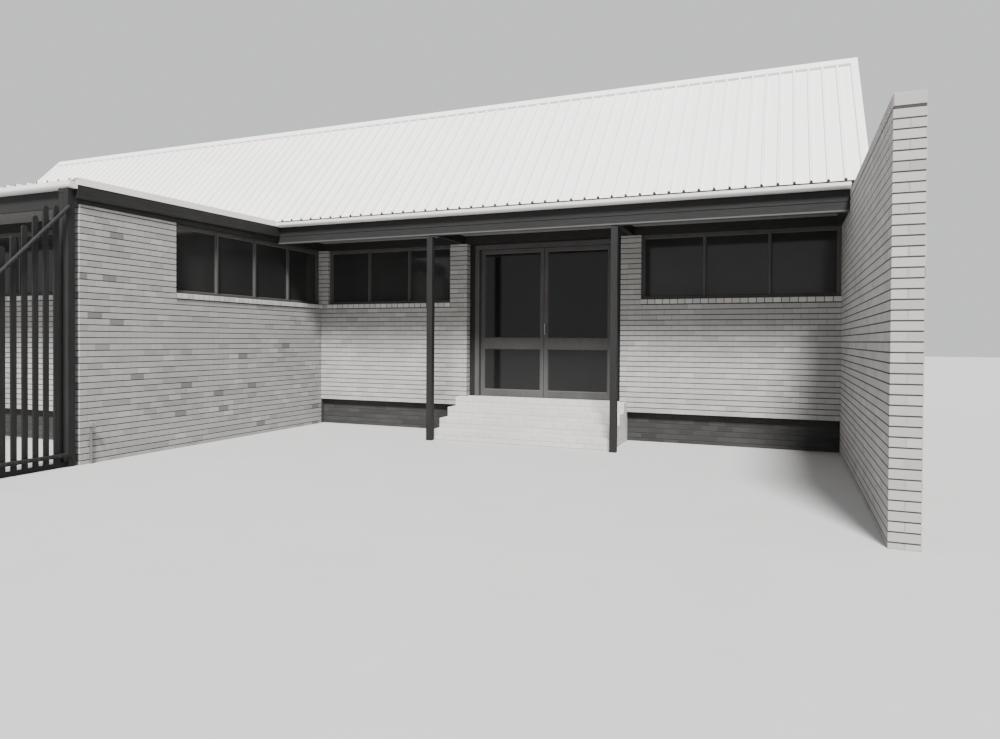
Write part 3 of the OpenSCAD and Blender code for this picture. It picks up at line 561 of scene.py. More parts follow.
def build_laying_tree():
    """Lays a pattern on marks, each cut and turned as its mark says, with a tone of its own."""
    tree = bpy.data.node_groups.new("pieces_on_marks", "GeometryNodeTree")
    sockets = (("Marks", "Geometry"), ("Pattern", "Object"), ("Full Size", "Vector"),
               ("Depth Change", "Float"), ("Seed", "Int"), ("Finish", "Material"))
    for name, kind in sockets:
        tree.interface.new_socket(name=name, in_out="INPUT", socket_type="NodeSocket" + kind)
    tree.interface.new_socket(name="Pieces", in_out="OUTPUT", socket_type="NodeSocketGeometry")
    given = node(tree, "NodeGroupInput").outputs
    pattern = node(tree, "GeometryNodeObjectInfo", {"Object": given["Pattern"], "As Instance": True})
    turned = node(tree, "GeometryNodeInputNamedAttribute", {"Name": "turned"}, data_type="FLOAT_VECTOR")
    cut = node(tree, "GeometryNodeInputNamedAttribute", {"Name": "cut"}, data_type="FLOAT_VECTOR")
    on_vectors = "ShaderNodeVectorMath"
    ratio = maths(tree, "DIVIDE", pick(cut.outputs, "Attribute"), given["Full Size"], on_vectors)
    less = maths(tree, "SUBTRACT", 1.0, given["Depth Change"])
    more = maths(tree, "ADD", 1.0, given["Depth Change"])
    depth = node(tree, "FunctionNodeRandomValue", {"Min": less, "Max": more, "Seed": given["Seed"]},
                 data_type="FLOAT")
    change = node(tree, "ShaderNodeCombineXYZ", {"X": 1.0, "Y": pick(depth.outputs, "Value"), "Z": 1.0})
    scale = maths(tree, "MULTIPLY", ratio, change.outputs[0], on_vectors)
    rotation = node(tree, "FunctionNodeEulerToRotation", {"Euler": pick(turned.outputs, "Attribute")})
    laid = node(tree, "GeometryNodeInstanceOnPoints", {
        "Points": given["Marks"], "Instance": pattern.outputs["Geometry"],
        "Rotation": rotation.outputs[0], "Scale": scale,
    })
    tone_seed = maths(tree, "ADD", given["Seed"], 100, "FunctionNodeIntegerMath")
    tone = node(tree, "FunctionNodeRandomValue", {"Min": 0.0, "Max": 1.0, "Seed": tone_seed},
                data_type="FLOAT")
    toned = node(tree, "GeometryNodeStoreNamedAttribute", {
        "Geometry": laid.outputs[0], "Name": "tone", "Value": pick(tone.outputs, "Value"),
    }, data_type="FLOAT", domain="INSTANCE")
    whole = node(tree, "GeometryNodeRealizeInstances", {"Geometry": toned.outputs[0]})
    coated = node(tree, "GeometryNodeSetMaterial", {
        "Geometry": whole.outputs[0], "Material": given["Finish"],
    })
    tree.links.new(coated.outputs[0], node(tree, "NodeGroupOutput").inputs[0])
    return tree


laying_tree = build_laying_tree()
laying_inputs = {
    item.name: item.identifier for item in laying_tree.interface.items_tree if item.in_out == "INPUT"
}


def lay(name, sized_pattern, marks, finish, change=0.0, seed=1):
    """Lays the pattern on the marks by the tree and keeps the result as one plain mesh."""
    pattern, full = sized_pattern
    mesh = bpy.data.meshes.new(name + "_marks")
    mesh.from_pydata([mark[0] for mark in marks], [], [])
    for key, column in (("cut", 1), ("turned", 2)):
        layer = mesh.attributes.new(key, "FLOAT_VECTOR", "POINT")
        layer.data.foreach_set("vector", [part for mark in marks for part in mark[column]])
    holder = bpy.data.objects.new(name + "_marks", mesh)
    scene.collection.objects.link(holder)
    modifier = holder.modifiers.new("laying", "NODES")
    modifier.node_group = laying_tree
    modifier[laying_inputs["Pattern"]] = pattern
    modifier[laying_inputs["Full Size"]] = full
    modifier[laying_inputs["Depth Change"]] = change
    modifier[laying_inputs["Seed"]] = seed
    modifier[laying_inputs["Finish"]] = finish
    graph = bpy.context.evaluated_depsgraph_get()
    laid = bpy.data.meshes.new_from_object(holder.evaluated_get(graph), preserve_all_data_layers=True,
                                           depsgraph=graph)
    laid.name = name
    bpy.data.objects.remove(holder)
    keep_piece(name, laid, finish)


# Turns that bring a pattern's front round to the way a wall looks
quarter = math.pi / 2
turn_of = {"-y": 0.0, "+x": quarter, "+y": 2 * quarter, "-x": -quarter}


def on_face(facing, plane, u, z):
    """The point at u and z on a face that looks along x or y."""
    return (u, plane, z) if facing[1] == "y" else (plane, u, z)


def clip(outline, across, up, most):
    """The part of an outline where across * u + up * z is not more than most."""
    kept = []
    for i, here in enumerate(outline):
        before = outline[i - 1]
        past_before = across * before[0] + up * before[1] - most
        past_here = across * here[0] + up * here[1] - most
        if (past_before > 0) != (past_here > 0):
            share = past_before / (past_before - past_here)
            kept.append(tuple(a + share * (b - a) for a, b in zip(before, here)))
        if past_here <= 0:
            kept.append(here)
    return kept


def clear_runs(run, openings, low, high):
    """Parts of a course that no opening takes away."""
    parts = [tuple(run)]
    for u0, u1, z0, z1 in openings:
        if high <= z0 + slack or low >= z1 - slack:
            continue
        split = [((start, min(stop, u0)), (max(start, u1), stop)) for start, stop in parts]
        parts = [part for pair in split for part in pair if part[1] - part[0] > least_run]
    return parts


class Walling:
    """Bricks and upright joints of one wall, laid in stretcher bond."""

    def __init__(self, name):
        self.name = name
        self.bricks = []
        self.joints = []
        self.cuts = Shape()

    def slip(self, facing, plane, start, stop, low, high, rakes, is_joint=False):
        """One brick face or upright joint, cut along any rake that passes through it."""
        outline = rectangle(start, stop, low, high)
        if not any(across * u + up * z > most for across, up, most in rakes for u, z in outline):
            front = proud - joint_sunk if is_joint else proud
            mark = (on_face(facing, plane, (start + stop) / 2, (low + high) / 2),
                    (stop - start, front, high - low), (0, 0, turn_of[facing]))
            (self.joints if is_joint else self.bricks).append(mark)
            return
        for rake in rakes:
            outline = clip(outline, *rake)
        if len(outline) < 3 or is_joint:
            return
        outward = -1 if facing[0] == "-" else 1
        depths = (plane - outward * sunk, plane + outward * proud)
        self.cuts.prism(outline, lambda u, z, end: on_face(facing, depths[end], u, z), chance.random())

    def face(self, facing, plane, run, rise, shift=0, past=(0, 0), openings=(), rakes=()):
        """Lays one face: run and rise are its ends, openings are (u0, u1, z0, z1)."""
        number = math.floor((rise[0] - base_top) / course)
        while base_top + number * course < rise[1] - least_height:
            low = max(rise[0], base_top + number * course)
            high = min(rise[1], base_top + number * course + brick_h)
            if high - low > least_height:
                first = brick_l if (number + shift) % 2 == 0 else half_l
                for start, stop in clear_runs(run, openings, low, high):
                    self.lay_run(facing, plane, run, start, stop, low, high, first, past, rakes)
            number += 1

    def lay_run(self, facing, plane, run, start, stop, low, high, first, past, rakes):
        """Bricks and joints of one course from start to stop, in step with the whole run."""
        module = brick_l + joint
        first_centre = run[0] + first + joint / 2
        centres = []
        number = math.floor((start - run[0]) / module) - 1
        while first_centre + number * module < stop - least_end:
            centre = first_centre + number * module
            if centre > start + least_end:
                centres.append(centre)
            number += 1
        starts = [start - (past[0] if start == run[0] else 0)] + [centre + joint / 2 for centre in centres]
        stops = [centre - joint / 2 for centre in centres] + [stop + (past[1] if stop == run[1] else 0)]
        for brick_start, brick_stop in zip(starts, stops):
            self.slip(facing, plane, brick_start, brick_stop, low, high, rakes)
        for centre in centres:
            self.slip(facing, plane, centre - joint / 2, centre + joint / 2, low, high, rakes, True)

    def jambs(self, facing, plane, opening, depth):
        """Brick ends on both sides of an opening, back to its frame."""
        outward = 1 if facing[0] == "+" else -1
        ends = sorted((plane, plane - outward * depth))
        for u, side in ((opening[0], "+"), (opening[1], "-")):
            self.face(side + ("x" if facing[1] == "y" else "y"), u, ends, opening[2:], 1)

    def keep(self, seed, finish, joint_finish, slot):
        """Makes the pieces of this wall."""
        lay(self.name + "_bricks", brick_pattern, self.bricks, finish, 0.12, seed)
        if self.joints:
            lay(self.name + "_joints", joint_pattern, self.joints, joint_finish, seed=seed)
        if self.cuts.points:
            self.cuts.keep(self.name + "_raked_bricks", finish, slot)


brick_pattern = slip_pattern("brick_pattern", brick_l, brick_h, proud, chamfer)
joint_pattern = plain_pattern("joint_pattern", joint, brick_h, proud)

# Openings of the window strips, read from the sills: (start, end, low, high)
reveal = 0.069
sill_slack = 0.030
least_sill = 0.5
sills = solids("window_sills")


def sill_openings(facing, plane):
    """The window strips on one face, as openings in its brickwork."""
    axis = 0 if facing[1] == "y" else 1
    found = []
    for low, high in sills:
        edge = (low if facing[0] == "-" else high)[1 - axis]
        if abs(edge - plane) < sill_slack and high[axis] - low[axis] > least_sill:
            found.append((low[axis], high[axis], sill_low, wall_top))
    return sorted(found)


def above_sill(opening):
    return (opening[0], opening[1], sill_high, wall_top)


# Door leaves with slender stiles and top rail; below the kept height nothing moves up
stile_cad = 0.085
stile = 0.062
kept_height = 1.2


def slender_door(side):
    """One leaf and its panes with narrower wood round larger glass."""
    leaf = side + "_door_leaf"
    glass = side + "_door_glass"
    low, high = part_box(leaf)
    kept_z = low.z + kept_height
    stops_x = ((low.x, low.x), (low.x + stile_cad, low.x + stile),
               (high.x - stile_cad, high.x - stile), (high.x, high.x))
    stops_z = ((low.z, low.z), (kept_z, kept_z), (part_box(glass)[1].z, high.z - stile), (high.z, high.z))

    def slender(co):
        return Vector((between(co.x, stops_x), co.y, between(co.z, stops_z)))

    reshaped(leaf, side + "_slender_leaf", slender, side + "_door")
    reshaped(glass, side + "_large_panes", slender, side + "_door")


for side in ("left", "right"):
    slender_door(side)

# Screen slats, with gaps nearly as wide as the slats
slat_w = 0.072
slat_t = 0.025
slat_boxes = solids("screen_slats")


def slimmer_slat(co):
    """A slat's point moved in towards its middle and its court side, with its round top."""
    low, high = next(pair for pair in slat_boxes if pair[0].y - slack <= co.y <= pair[1].y + slack)
    ratio = slat_w / (high.y - low.y)
    middle = (low.y + high.y) / 2
    crown = (high.y - low.y) / 2
    z = co.z
    if z > high.z - crown - slack:
        z = high.z - (high.z - z) * ratio
    x = high.x - (high.x - co.x) * slat_t / (high.x - low.x)
    return Vector((x, middle + (co.y - middle) * ratio, z))


reshaped("screen_slats", "slim_screen_slats", slimmer_slat)

# Slender bars between the window panes
bar_cad = 0.050
bar = 0.034
bar_slack = 0.002
frame_reach = 0.060
bar_edges = []
window_glass = ("front_window_glass", "wing_window_glass", "rear_window_glass")
for name in window_glass:
    panes = solids(name)
    for low, high in panes:
        axis = 0 if high.x - low.x > high.y - low.y else 1
        across = 1 - axis
        for next_low, _ in panes:
            gap = next_low[axis] - high[axis]
            if abs(gap - bar_cad) < bar_slack and abs(low[across] - next_low[across]) < bar_slack:
                plane = (low[across] + high[across]) / 2
                bar_edges.append((axis, plane, high[axis], (bar_cad - bar) / 2))
                bar_edges.append((axis, plane, next_low[axis], -(bar_cad - bar) / 2))


def slimmer_bar(co):
    """A frame's or pane's point, moved if it lies on the edge of a bar."""
    moved = Vector(co)
    for axis, plane, edge, step in bar_edges:
        if abs(co[axis] - edge) < slack and abs(co[1 - axis] - plane) < frame_reach:
            moved[axis] = co[axis] + step
    return moved


reshaped("window_frames", "slender_window_frames", slimmer_bar)
for name in window_glass:
    reshaped(name, "wide_" + name.replace("glass", "panes"), slimmer_bar)

# Thin strip under each fascia, and gutters set a little below the sheet's edge
strip_h = 0.022
gutter_lowered = 0.018
low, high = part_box("eave_strips")
thinner = ((low.z, high.z - strip_h), (high.z, high.z))
moved_in_height("eave_strips", "thin_eave_strips", thinner)
for name in ("front_gutter", "rear_gutter"):
    low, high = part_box(name)
    lower = ((low.z, low.z), (high.z, high.z - gutter_lowered))
    moved_in_height(name, "low_" + name, lower)

# Deeper head beams and cross beams, with the soffit sheets higher above the windows
soffit_raised = 0.080
deeper = ((wall_top, wall_top), (beam_top, beam_top + soffit_raised))
raised = ((wall_top, wall_top + soffit_raised), (beam_top, beam_top + soffit_raised))
moved_in_height("head_beams", "deep_head_beams", deeper)
moved_in_height("cross_beams", "deep_cross_beams", deeper)
moved_in_height("soffits", "raised_soffits", raised)

# Faces of the wing's walls
wing_side = (wing_y, front_y)
full_height = (0, wall_top)
above_base = (base_top, wall_top)
beside_window = (sill_high, wall_top)
court_face = Walling("wing_court_wall")
strips = sill_openings("+x", court_x)
court_face.face("+x", court_x, wing_side, full_height, 0, (proud, 0), strips)
court_face.face("-y", wing_y, (court_in_x, court_x), full_height, 1, (proud, 0))
court_face.face("-x", court_in_x, (wing_y, wing_front_y), full_height, 0)
court_face.face("+y", strips[0][0], (court_x - reveal, court_x), beside_window, 1)

end_face = Walling("wing_end_wall")
strips = sill_openings("-x", left_x)
end_face.face("-x", left_x, wing_side, full_height, 0, (proud, 0), strips)
end_face.face("-y", wing_y, (left_x, end_in_x), full_height, 1, (0, proud))
end_face.face("+x", end_in_x, (wing_y, wing_front_y), full_height, 0)
end_face.face("+y", strips[0][0], (left_x, left_x + reveal), beside_window, 1)


def windowed_face(name, facing, plane, run, shift):
    """A wall above its base with its window strips and their jambs."""
    strips = [strip for strip in sill_openings(facing, plane) if run[0] - joint < strip[0] < run[1]]
    wall = Walling(name)
    wall.face(facing, plane, run, above_base, shift, (0, 0), strips)
    for strip in strips:
        wall.jambs(facing, plane, above_sill(strip), reveal)
    return wall


verandah_face = windowed_face("wing_front_wall", "-y", wing_front_y, (end_in_x, court_in_x), 0)
rear_face = windowed_face("rear_wall", "+y", rear_y, (end_in_x, court_right_x), 0)
left_front = windowed_face("front_wall_left", "-y", front_y, (court_x, doorway_x0), 1)
right_front = windowed_face("front_wall_right", "-y", front_y, (doorway_x1, court_right_x), 1)
jamb_depth = (front_y - proud, lining_y)
left_front.face("+x", doorway_x0, jamb_depth, (floor_z, wall_top), 0)
left_front.face("-y", front_y, (court_x - reveal, court_x), beside_window, 1)
right_front.face("-x", doorway_x1, jamb_depth, (floor_z, wall_top), 0)

# Raked limits under the verge flashings: across * u + up * z is at most the last value
plate_low = 0.0698
rake_sum = eave_z - sheet_edge - plate_low / diagonal
rakes = [(-1, 1, rake_sum), (1, 1, rake_sum + 2 * mid_y), (0, 1, ridge_h - plate_low)]
shoulder_z = base_top + 36 * course
soffit_t = 0.012
return_rise = (0, beam_top - soffit_t)

left_face = Walling("left_gable_wall")
left_face.face("-x", left_x, (front_y, rear_y), (0, shoulder_z), 0, (0, proud))
left_face.face("-x", left_x, (left_shoulder_y, front_y), (beam_top, shoulder_z), 0)
left_face.face("-x", left_x, (left_shoulder_y, rear_y), (shoulder_z, ridge_h), 0, (0, proud), (), rakes)
left_face.face("+y", rear_y, (left_x, end_in_x), return_rise, 1)
left_face.face("-y", front_y, (left_x, left_x + reveal), beside_window, 1)

coping_h = 0.102
coping_low = court_wall_top - coping_h - joint
right_face = Walling("right_gable_wall")
right_face.face("+x", right_x, (wing_y, rear_y), (0, shoulder_z), 0, (proud, proud))
right_face.face("+x", right_x, (right_shoulder_y, rear_y), (shoulder_z, ridge_h), 0, (0, proud), (), rakes)
right_face.face("+y", rear_y, (court_right_x, right_x), return_rise, 1)

side_face = Walling("court_side_wall")
side_face.face("-x", court_right_x, wing_side, (0, coping_low), 0, (proud, 0))
side_face.face("-y", wing_y, (court_right_x, right_x), (0, coping_low), 1)

even_walls = [left_front, right_front, side_face, verandah_face]
walls = [court_face, end_face, verandah_face, left_front, right_front,
         left_face, right_face, side_face, rear_face]
for seed, wall in enumerate(walls, 11):
    wall.keep(seed, even_brick if wall in even_walls else brick, flush_joint, "brickwork")

# Dark base in courses of its own
base_set_back = 0.100
base_rise = (0, base_top)
base_face = Walling("base_wall")
steps_low, steps_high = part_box("entrance_step_1")
base_face.face("-y", front_y + base_set_back, (court_x, steps_low.x), base_rise, 0)
base_face.face("-y", front_y + base_set_back, (steps_high.x, court_right_x), base_rise, 1)
base_face.face("+y", rear_y - base_set_back, (end_in_x, court_right_x), base_rise, 0)
base_face.face("-y", wing_front_y + base_set_back, (end_in_x, court_in_x), base_rise, 0)
base_face.keep(31, base_brick, dark_masonry, "dark_base")

# Sill bricks, laid with their short ends outwards
sill_module = 0.120
sill_proud = 0.004
sill_out = 0.015
sill_tread = 0.082
sill_lift = 0.001
sill_marks = []


def sill_facing(low, high):
    """The way a sill looks, out of the wall that it lies in."""
    if high.x - low.x > high.y - low.y:
        in_front = any(abs(low.y + sill_out - wall_y) < joint for wall_y in (front_y, wing_front_y))
        return "-y" if in_front else "+y"
    return "-x" if low.x < left_x else "+x"


for low, high in sills:
    facing = sill_facing(low, high)
    axis = 0 if facing[1] == "y" else 1
    plane = (low if facing[0] == "-" else high)[1 - axis]
    count = max(1, round((high[axis] - low[axis] + joint) / sill_module))
    module = (high[axis] - low[axis] + joint) / count
    size = module - joint
    inward = 1 if facing[0] == "-" else -1
    for i in range(count):
        u = low[axis] + (i + 0.5) * module - joint / 2
        sill_marks.append((on_face(facing, plane, u, sill_high - brick_h / 2 + sill_lift),
                           (size, sill_proud, brick_h), (0, 0, turn_of[facing])))
        sill_marks.append((on_face(facing, plane + inward * sill_tread / 2, u, sill_high),
                           (size, sill_proud, sill_tread), (-quarter, 0, quarter * axis)))
sill_pattern = slip_pattern("sill_pattern", half_l, brick_h, sill_proud, chamfer)
lay("sill_bricks", sill_pattern, sill_marks, sill_brick, 0.15, 41)

# Coping of bricks on edge along the court wall
coping_marks = []
coping_run = right_shoulder_y - wing_y
coping_count = round(coping_run / course)
coping_module = coping_run / coping_count
coping_z = coping_low + joint + coping_h / 2
coping_x = (court_right_x + right_x) / 2
for i in range(coping_count):
    u = wing_y + (i + 0.5) * coping_module
    for facing, plane in (("-x", court_right_x), ("+x", right_x)):
        coping_marks.append((on_face(facing, plane, u, coping_z), (coping_module - joint, proud, coping_h),
                             (0, 0, turn_of[facing])))
    coping_marks.append(((coping_x, u, court_wall_top),
                         (coping_module - joint, proud, brick_l + 2 * proud), (-quarter, 0, quarter)))
coping_marks.append(((coping_x, wing_y, coping_z), (brick_l, proud, coping_h), (0, 0, 0)))
lay("coping_bricks", brick_pattern, coping_marks, even_brick, 0.12, 43)

# Entrance flight: two courses on each riser, three rows on each tread
tread_proud = 0.0025
tread_chamfer = 0.0016
riser_foot = 0.004
row_depth = 0.105
tread_rows = 3
step_marks = []


def brick_row(ends, shift, place):
    """Bricks along one row; place turns the middle of a brick and its length into a mark."""
    start = ends[0]
    length = brick_l if shift == 0 else half_l
    while start < ends[1] - least_run:
        stop = min(start + length, ends[1])
        if ends[1] - stop < least_brick:
            stop = ends[1]
        step_marks.append(place((start + stop) / 2, stop - start))
        start = stop + joint
        length = brick_l


def riser_row(ends, shift, facing, plane, low, high):
    brick_row(ends, shift, lambda u, size: (
        on_face(facing, plane, u, (low + high) / 2), (size, tread_proud, high - low),
        (0, 0, turn_of[facing])))


def tread_row(ends, near_y, far_y, z, shift):
    brick_row(ends, shift, lambda u, size: (
        (u, (near_y + far_y) / 2, z), (size, tread_proud, far_y - near_y), (-quarter, 0, 0)))


# The nearest solid of each step is the step itself
step_boxes = [min(solids("entrance_step_%d" % i), key=lambda pair: pair[0].y) for i in range(1, 5)]
for i, (low, high) in enumerate(step_boxes):
    courses = ((low.z + riser_foot, low.z + course - joint), (low.z + course, high.z + tread_proud))
    for k, (row_low, row_high) in enumerate(courses):
        riser_row((low.x, high.x), k, "-y", low.y, row_low, row_high)
        riser_row((low.y, front_y), 1 - k, "-x", low.x, row_low, row_high)
        riser_row((low.y, front_y), 1 - k, "+x", high.x, row_low, row_high)
    if i < len(step_boxes) - 1:
        row_pitch = (step_boxes[i + 1][0].y - low.y) / tread_rows
        for k in range(tread_rows):
            near_y = low.y + k * row_pitch
            tread_row((low.x, high.x), near_y, low.y + (k + 1) * row_pitch - joint, high.z, k % 2)
    else:
        tread_row((low.x, high.x), low.y, low.y + row_depth, high.z, 0)
        tread_row((low.x, high.x), low.y + row_depth + joint, front_y - proud, high.z, 1)
        tread_row((doorway_x0, doorway_x1), front_y + proud, door_frame_y - slack, high.z, 0)
step_pattern = slip_pattern("step_pattern", brick_l, brick_h, tread_proud, tread_chamfer)
lay("step_bricks", step_pattern, step_marks, step_brick, 0.1, 47)

# Open ends of the roof sheet's ribs with painted shade inside, and dark strips painted as the shade under
# its pans, above the gutters
sheet_t = 0.0022
hollow_front = 0.001
hollow_back = 0.0004
foot_top = 0.003
foot_bottom = 0.056
foot_front = 0.0012
foot_back = 0.001
wing_rib_rise = 0.029
pan_shades = Shape()


def rib_ends(name, ends, edge, rise, towards, outward):
    """Dark patch on the end of each rib, painted as the shade inside its open end; edge is the middle of
    the sheet's lower edge.
    """
    count = math.floor((ends[1] - ends[0] - rib_foot) / rib_pitch)
    margin = (ends[1] - ends[0] - count * rib_pitch) / 2
    up = Vector(towards)
    out = Vector(outward)
    half_foot = rib_foot / 2 - 3 * sheet_t
    half_top = rib_top / 2 - sheet_t
    outline = [(-half_foot, 0.0), (-half_top, rise - sheet_t), (half_top, rise - sheet_t), (half_foot, 0.0)]
    shape = Shape()
    for i in range(count + 1):
        middle = Vector((ends[0] + margin + i * rib_pitch, edge[0], edge[1]))
        faces = (middle - out * hollow_back, middle + out * hollow_front)
        shape.prism(outline, lambda u, v, end: faces[end] + Vector((u, 0, 0)) + up * v)
    shape.keep(name, rib_end_shade_paint, "dark_timber")


def lay_pan_shade(ends, edge, inward, outward):
    """Dark strip painted as the shade under the pans on the square-cut foot of a sheet."""
    inside = Vector(inward)
    out = Vector(outward)
    places = [Vector((x, edge[0], edge[1])) for x in (ends[0] + slack, ends[1] - slack)]
    outline = rectangle(foot_top, foot_bottom, -foot_back, foot_front)
    pan_shades.prism(outline, lambda u, v, end: places[end] + inside * u + out * v)


width = (left_x, right_x)
for side, back, y in (("front", diagonal, sheet_edge), ("rear", -diagonal, 2 * mid_y - sheet_edge)):
    out = (0, -back, -diagonal)
    rib_ends(side + "_rib_ends", width, (y, eave_z), rib_rise, (0, -back, diagonal), out)
    lay_pan_shade(width, (y, eave_z), (0, back, -diagonal), out)

wing_fall = math.radians(0.6)
wing_width = (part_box("wing_roof")[0].x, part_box("wing_roof")[1].x)
wing_edge = (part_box("wing_fascia")[0].y - drip,
             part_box("wing_gutter")[1].z + wing_gutter_drop - drip * math.tan(wing_fall))
rib_ends("wing_rib_ends", wing_width, wing_edge, wing_rib_rise,
         (0, -math.sin(wing_fall), math.cos(wing_fall)), (0, -1, 0))
lay_pan_shade(wing_width, wing_edge, (0, 0, -1), (0, -1, 0))
pan_shades.keep("sheet_feet", gap_shade_paint, "dark_timber")

# Closers between the ribs under both edges of the ridge cappings
closer_in = 0.1365
closer_t = 0.002
closer_gap = 0.0005
closer_side = 0.012
closer_ends = (left_x + closer_side, right_x - closer_side)
fold_y = sheet_edge + ridge_h - eave_z
down_the_slope = ((-diagonal, -diagonal), (-diagonal, diagonal))
over_the_deck = ((1, 0), (0, 1))
closer_section = rectangle(closer_in, closer_in + closer_t, -closer_t, rib_rise - closer_gap)
closers = Shape()
for at_rear in (False, True):
    for along, up in (down_the_slope, over_the_deck):
        def closer_point(u, v, end):
            y = fold_y + along[0] * u + up[0] * v
            z = ridge_h + along[1] * u + up[1] * v
            return (closer_ends[end], 2 * mid_y - y if at_rear else y, z)

        closers.prism(closer_section, closer_point)
closers.keep("capping_closers", white_sheet, "white_sheet")

# Rolled bead along the front lip of each gutter
lip_in = 0.003
lip_drop = 0.002
lip_r = 0.005
beads = Shape()
for name in ("front_gutter", "rear_gutter", "wing_gutter"):
    low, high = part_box(name)
    y = high.y - lip_in if name == "rear_gutter" else low.y + lip_in
    z = high.z - lip_drop - (0 if name == "wing_gutter" else gutter_lowered)
    beads.tube((low.x, y, z), (high.x, y, z), lip_r)
beads.keep("gutter_beads", pale_trim, "pale_trim")

# Glazing beads round every pane
bead_w = 0.014
bead_d = 0.010
glass_t = 0.006


def pane_beads(name, glass_nodes, slot, body):
    """Strips with a sloping face on both sides of each pane."""
    shape = Shape()
    for glass in glass_nodes:
        for low, high in solids(glass):
            axis = 0 if high.x - low.x > high.y - low.y else 1
            middle = (low[1 - axis] + high[1 - axis]) / 2
            outer = rectangle(low[axis], high[axis], low.z, high.z)
            inner = rectangle(low[axis] + bead_w, high[axis] - bead_w, low.z + bead_w, high.z - bead_w)
            for side in (-1, 1):
                face = middle + side * glass_t / 2
                rings = ((outer, face), (outer, face + side * bead_d), (inner, face))
                facing = "-y" if axis == 0 else "-x"
                points = [on_face(facing, depth, u, z) for ring, depth in rings for u, z in ring]
                shape.add(points, band(0, 4, 4) + band(4, 8, 4) + band(8, 0, 4))
    shape.keep(name, door_paint, slot, body)


pane_beads("window_beads", window_glass, "dark_timber", "building")
for side in ("left", "right"):
    pane_beads(side + "_door_beads", [side + "_door_glass"], "door_paint", side + "_door")

# Bolts through the screen's sloping rail and its bottom rail into each slat
rail_drop = 0.270
bottom_rail_z = 0.160
least_bolt_z = 0.1
bolt_profile = [(0.0001, -0.004), (0.011, -0.004), (0.011, 0.001), (0.007, 0.004), (0.0001, 0.005)]
bolt_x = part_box("screen_rails")[1].x - 0.001
bolts = Shape()
for low, high in solids("screen_slats"):
    for z in (high.z - rail_drop, bottom_rail_z):
        if z > least_bolt_z:
            bolts.lathe(bolt_profile, (bolt_x, (low.y + high.y) / 2, z), (1, 0, 0), 10)
bolts.keep("screen_bolts", bolt_metal, "bare_metal")

# Straps of the downpipe and the collar round its top
strap_places = (0.45, 1.75, 3.05)
strap_h = 0.030
strap_t = 0.003
strap_lap = 0.001
strap_reach = 0.030
tab_t = 0.002
collar_t = 0.006
collar_low = 0.050
collar_high = 0.008
pipe_low, pipe_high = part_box("wing_downpipe")
pipe_x = (pipe_low.x + pipe_high.x) / 2
pipe_y = (pipe_low.y + pipe_high.y) / 2
pipe_r = (pipe_high.x - pipe_low.x) / 2
inner_r = pipe_r - strap_lap
tab_y = pipe_y + pipe_r
straps = Shape()
for z in strap_places:
    strap = rectangle(inner_r, pipe_r + strap_t, z, z + strap_h)
    straps.lathe(strap, (pipe_x, pipe_y, 0), sides=28)
    straps.box((pipe_x, tab_y - tab_t, z), (pipe_x + pipe_r + strap_reach, tab_y + tab_t, z + strap_h))
collar = rectangle(inner_r, pipe_r + collar_t, pipe_high.z - collar_low, pipe_high.z - collar_high)
straps.lathe(collar, (pipe_x, pipe_y, 0), sides=28)
straps.keep("downpipe_straps", timber_z, "dark_timber")

# Bonnet, stem, cross handle and spout ring of the garden tap
tap_low, tap_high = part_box("garden_tap")
tap_x = tap_high.x - 0.010
tap_y = (tap_low.y + tap_high.y) / 2
stem_x = tap_x - 0.022
tap_z = tap_high.z - (tap_high.y - tap_low.y) / 2
bonnet_z = tap_z + 0.010
stem_z = tap_z + 0.030
stem_r = 0.004
handle_z = tap_z + 0.056
handle_r = 0.0048
reach = 0.026
spout_z = tap_z - 0.060
bonnet_profile = [(0.0001, 0), (0.013, 0), (0.013, 0.016), (0.010, 0.020), (0.010, 0.026), (0.0001, 0.026)]
knob_profile = [(0.0001, -0.007), (0.005, -0.005), (0.007, 0), (0.005, 0.005), (0.0001, 0.007)]
tap = Shape()
tap.lathe(bonnet_profile, (stem_x, tap_y, bonnet_z), sides=6)
tap.tube((stem_x, tap_y, stem_z), (stem_x, tap_y, handle_z), stem_r)
for dx, dy in ((reach, 0), (0, reach)):
    tap.tube((stem_x - dx, tap_y - dy, handle_z), (stem_x + dx, tap_y + dy, handle_z), handle_r)
    for way in (-1, 1):
        tap.lathe(knob_profile, (stem_x + way * dx, tap_y + way * dy, handle_z), sides=10)
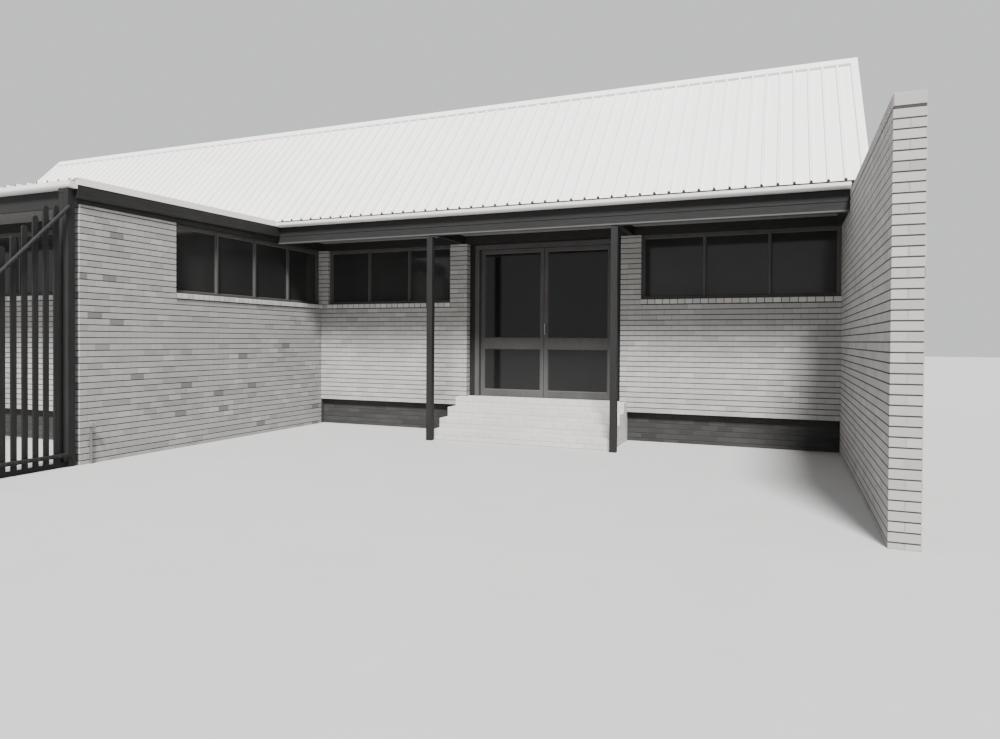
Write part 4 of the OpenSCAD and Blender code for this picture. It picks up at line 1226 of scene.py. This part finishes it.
tap.lathe(rectangle(0.0095, 0.0125, 0, 0.012), (tap_x, tap_y, spout_z), sides=16)
tap.keep("tap_handle", tap_metal, "tap_metal")

for pattern in patterns:
    bpy.data.objects.remove(pattern)

# Pale floor, slightly under the building
floor_reach = 90.0
floor_low = -0.002
floor_mesh = bpy.data.meshes.new("studio_floor")
corners = [(sx * floor_reach, sy * floor_reach, floor_low) for sx, sy in square]
floor_mesh.from_pydata(corners, [], [(0, 1, 2, 3)])
studio_floor = bpy.data.objects.new("studio_floor", floor_mesh)
scene.collection.objects.link(studio_floor)
pale_floor, floor_tree, floor_shader = blank("pale_floor", 0.9)
floor_colour = ramp(floor_tree, noise(floor_tree, 1.5), shades((0.3, 0.39), (0.7, 0.405)))
set_colour(floor_tree, floor_shader, floor_colour)
floor_mesh.materials.append(pale_floor)

# High soft key light from the front right, and even light all round
key_from = Vector((0.38, -1.18, 1.50))
key = bpy.data.lights.new("key_light", "SUN")
key.energy = 10.9
key.angle = math.radians(13)
key_object = bpy.data.objects.new("key_light", key)
key_object.rotation_euler = key_from.to_track_quat("Z", "Y").to_euler()
scene.collection.objects.link(key_object)

world = bpy.data.worlds.new("studio")
world.use_nodes = True
world.node_tree.nodes["Background"].inputs["Color"].default_value = (0.95, 0.96, 0.98, 1)
world.node_tree.nodes["Background"].inputs["Strength"].default_value = 0.85
scene.world = world

# Camera where the photograph was taken from: its place, and its turn, tilt and roll in degrees
eye_place = (8.0605, -13.7905, 1.683)
eye_turns = ((23.827, "Z"), (90 - 0.773, "X"), (0.321, "Z"))
eye = bpy.data.cameras.new("photo_view")
eye.sensor_fit = "HORIZONTAL"
eye.sensor_width = 36.0
eye.lens = 26.70
eye.shift_x = 0.0448
eye.shift_y = -0.0196
camera = bpy.data.objects.new("photo_view", eye)
scene.collection.objects.link(camera)
camera.location = eye_place
turn, tilt, roll = [Matrix.Rotation(math.radians(angle), 3, axis) for angle, axis in eye_turns]
camera.rotation_euler = (turn @ tilt @ roll).to_euler()
scene.camera = camera
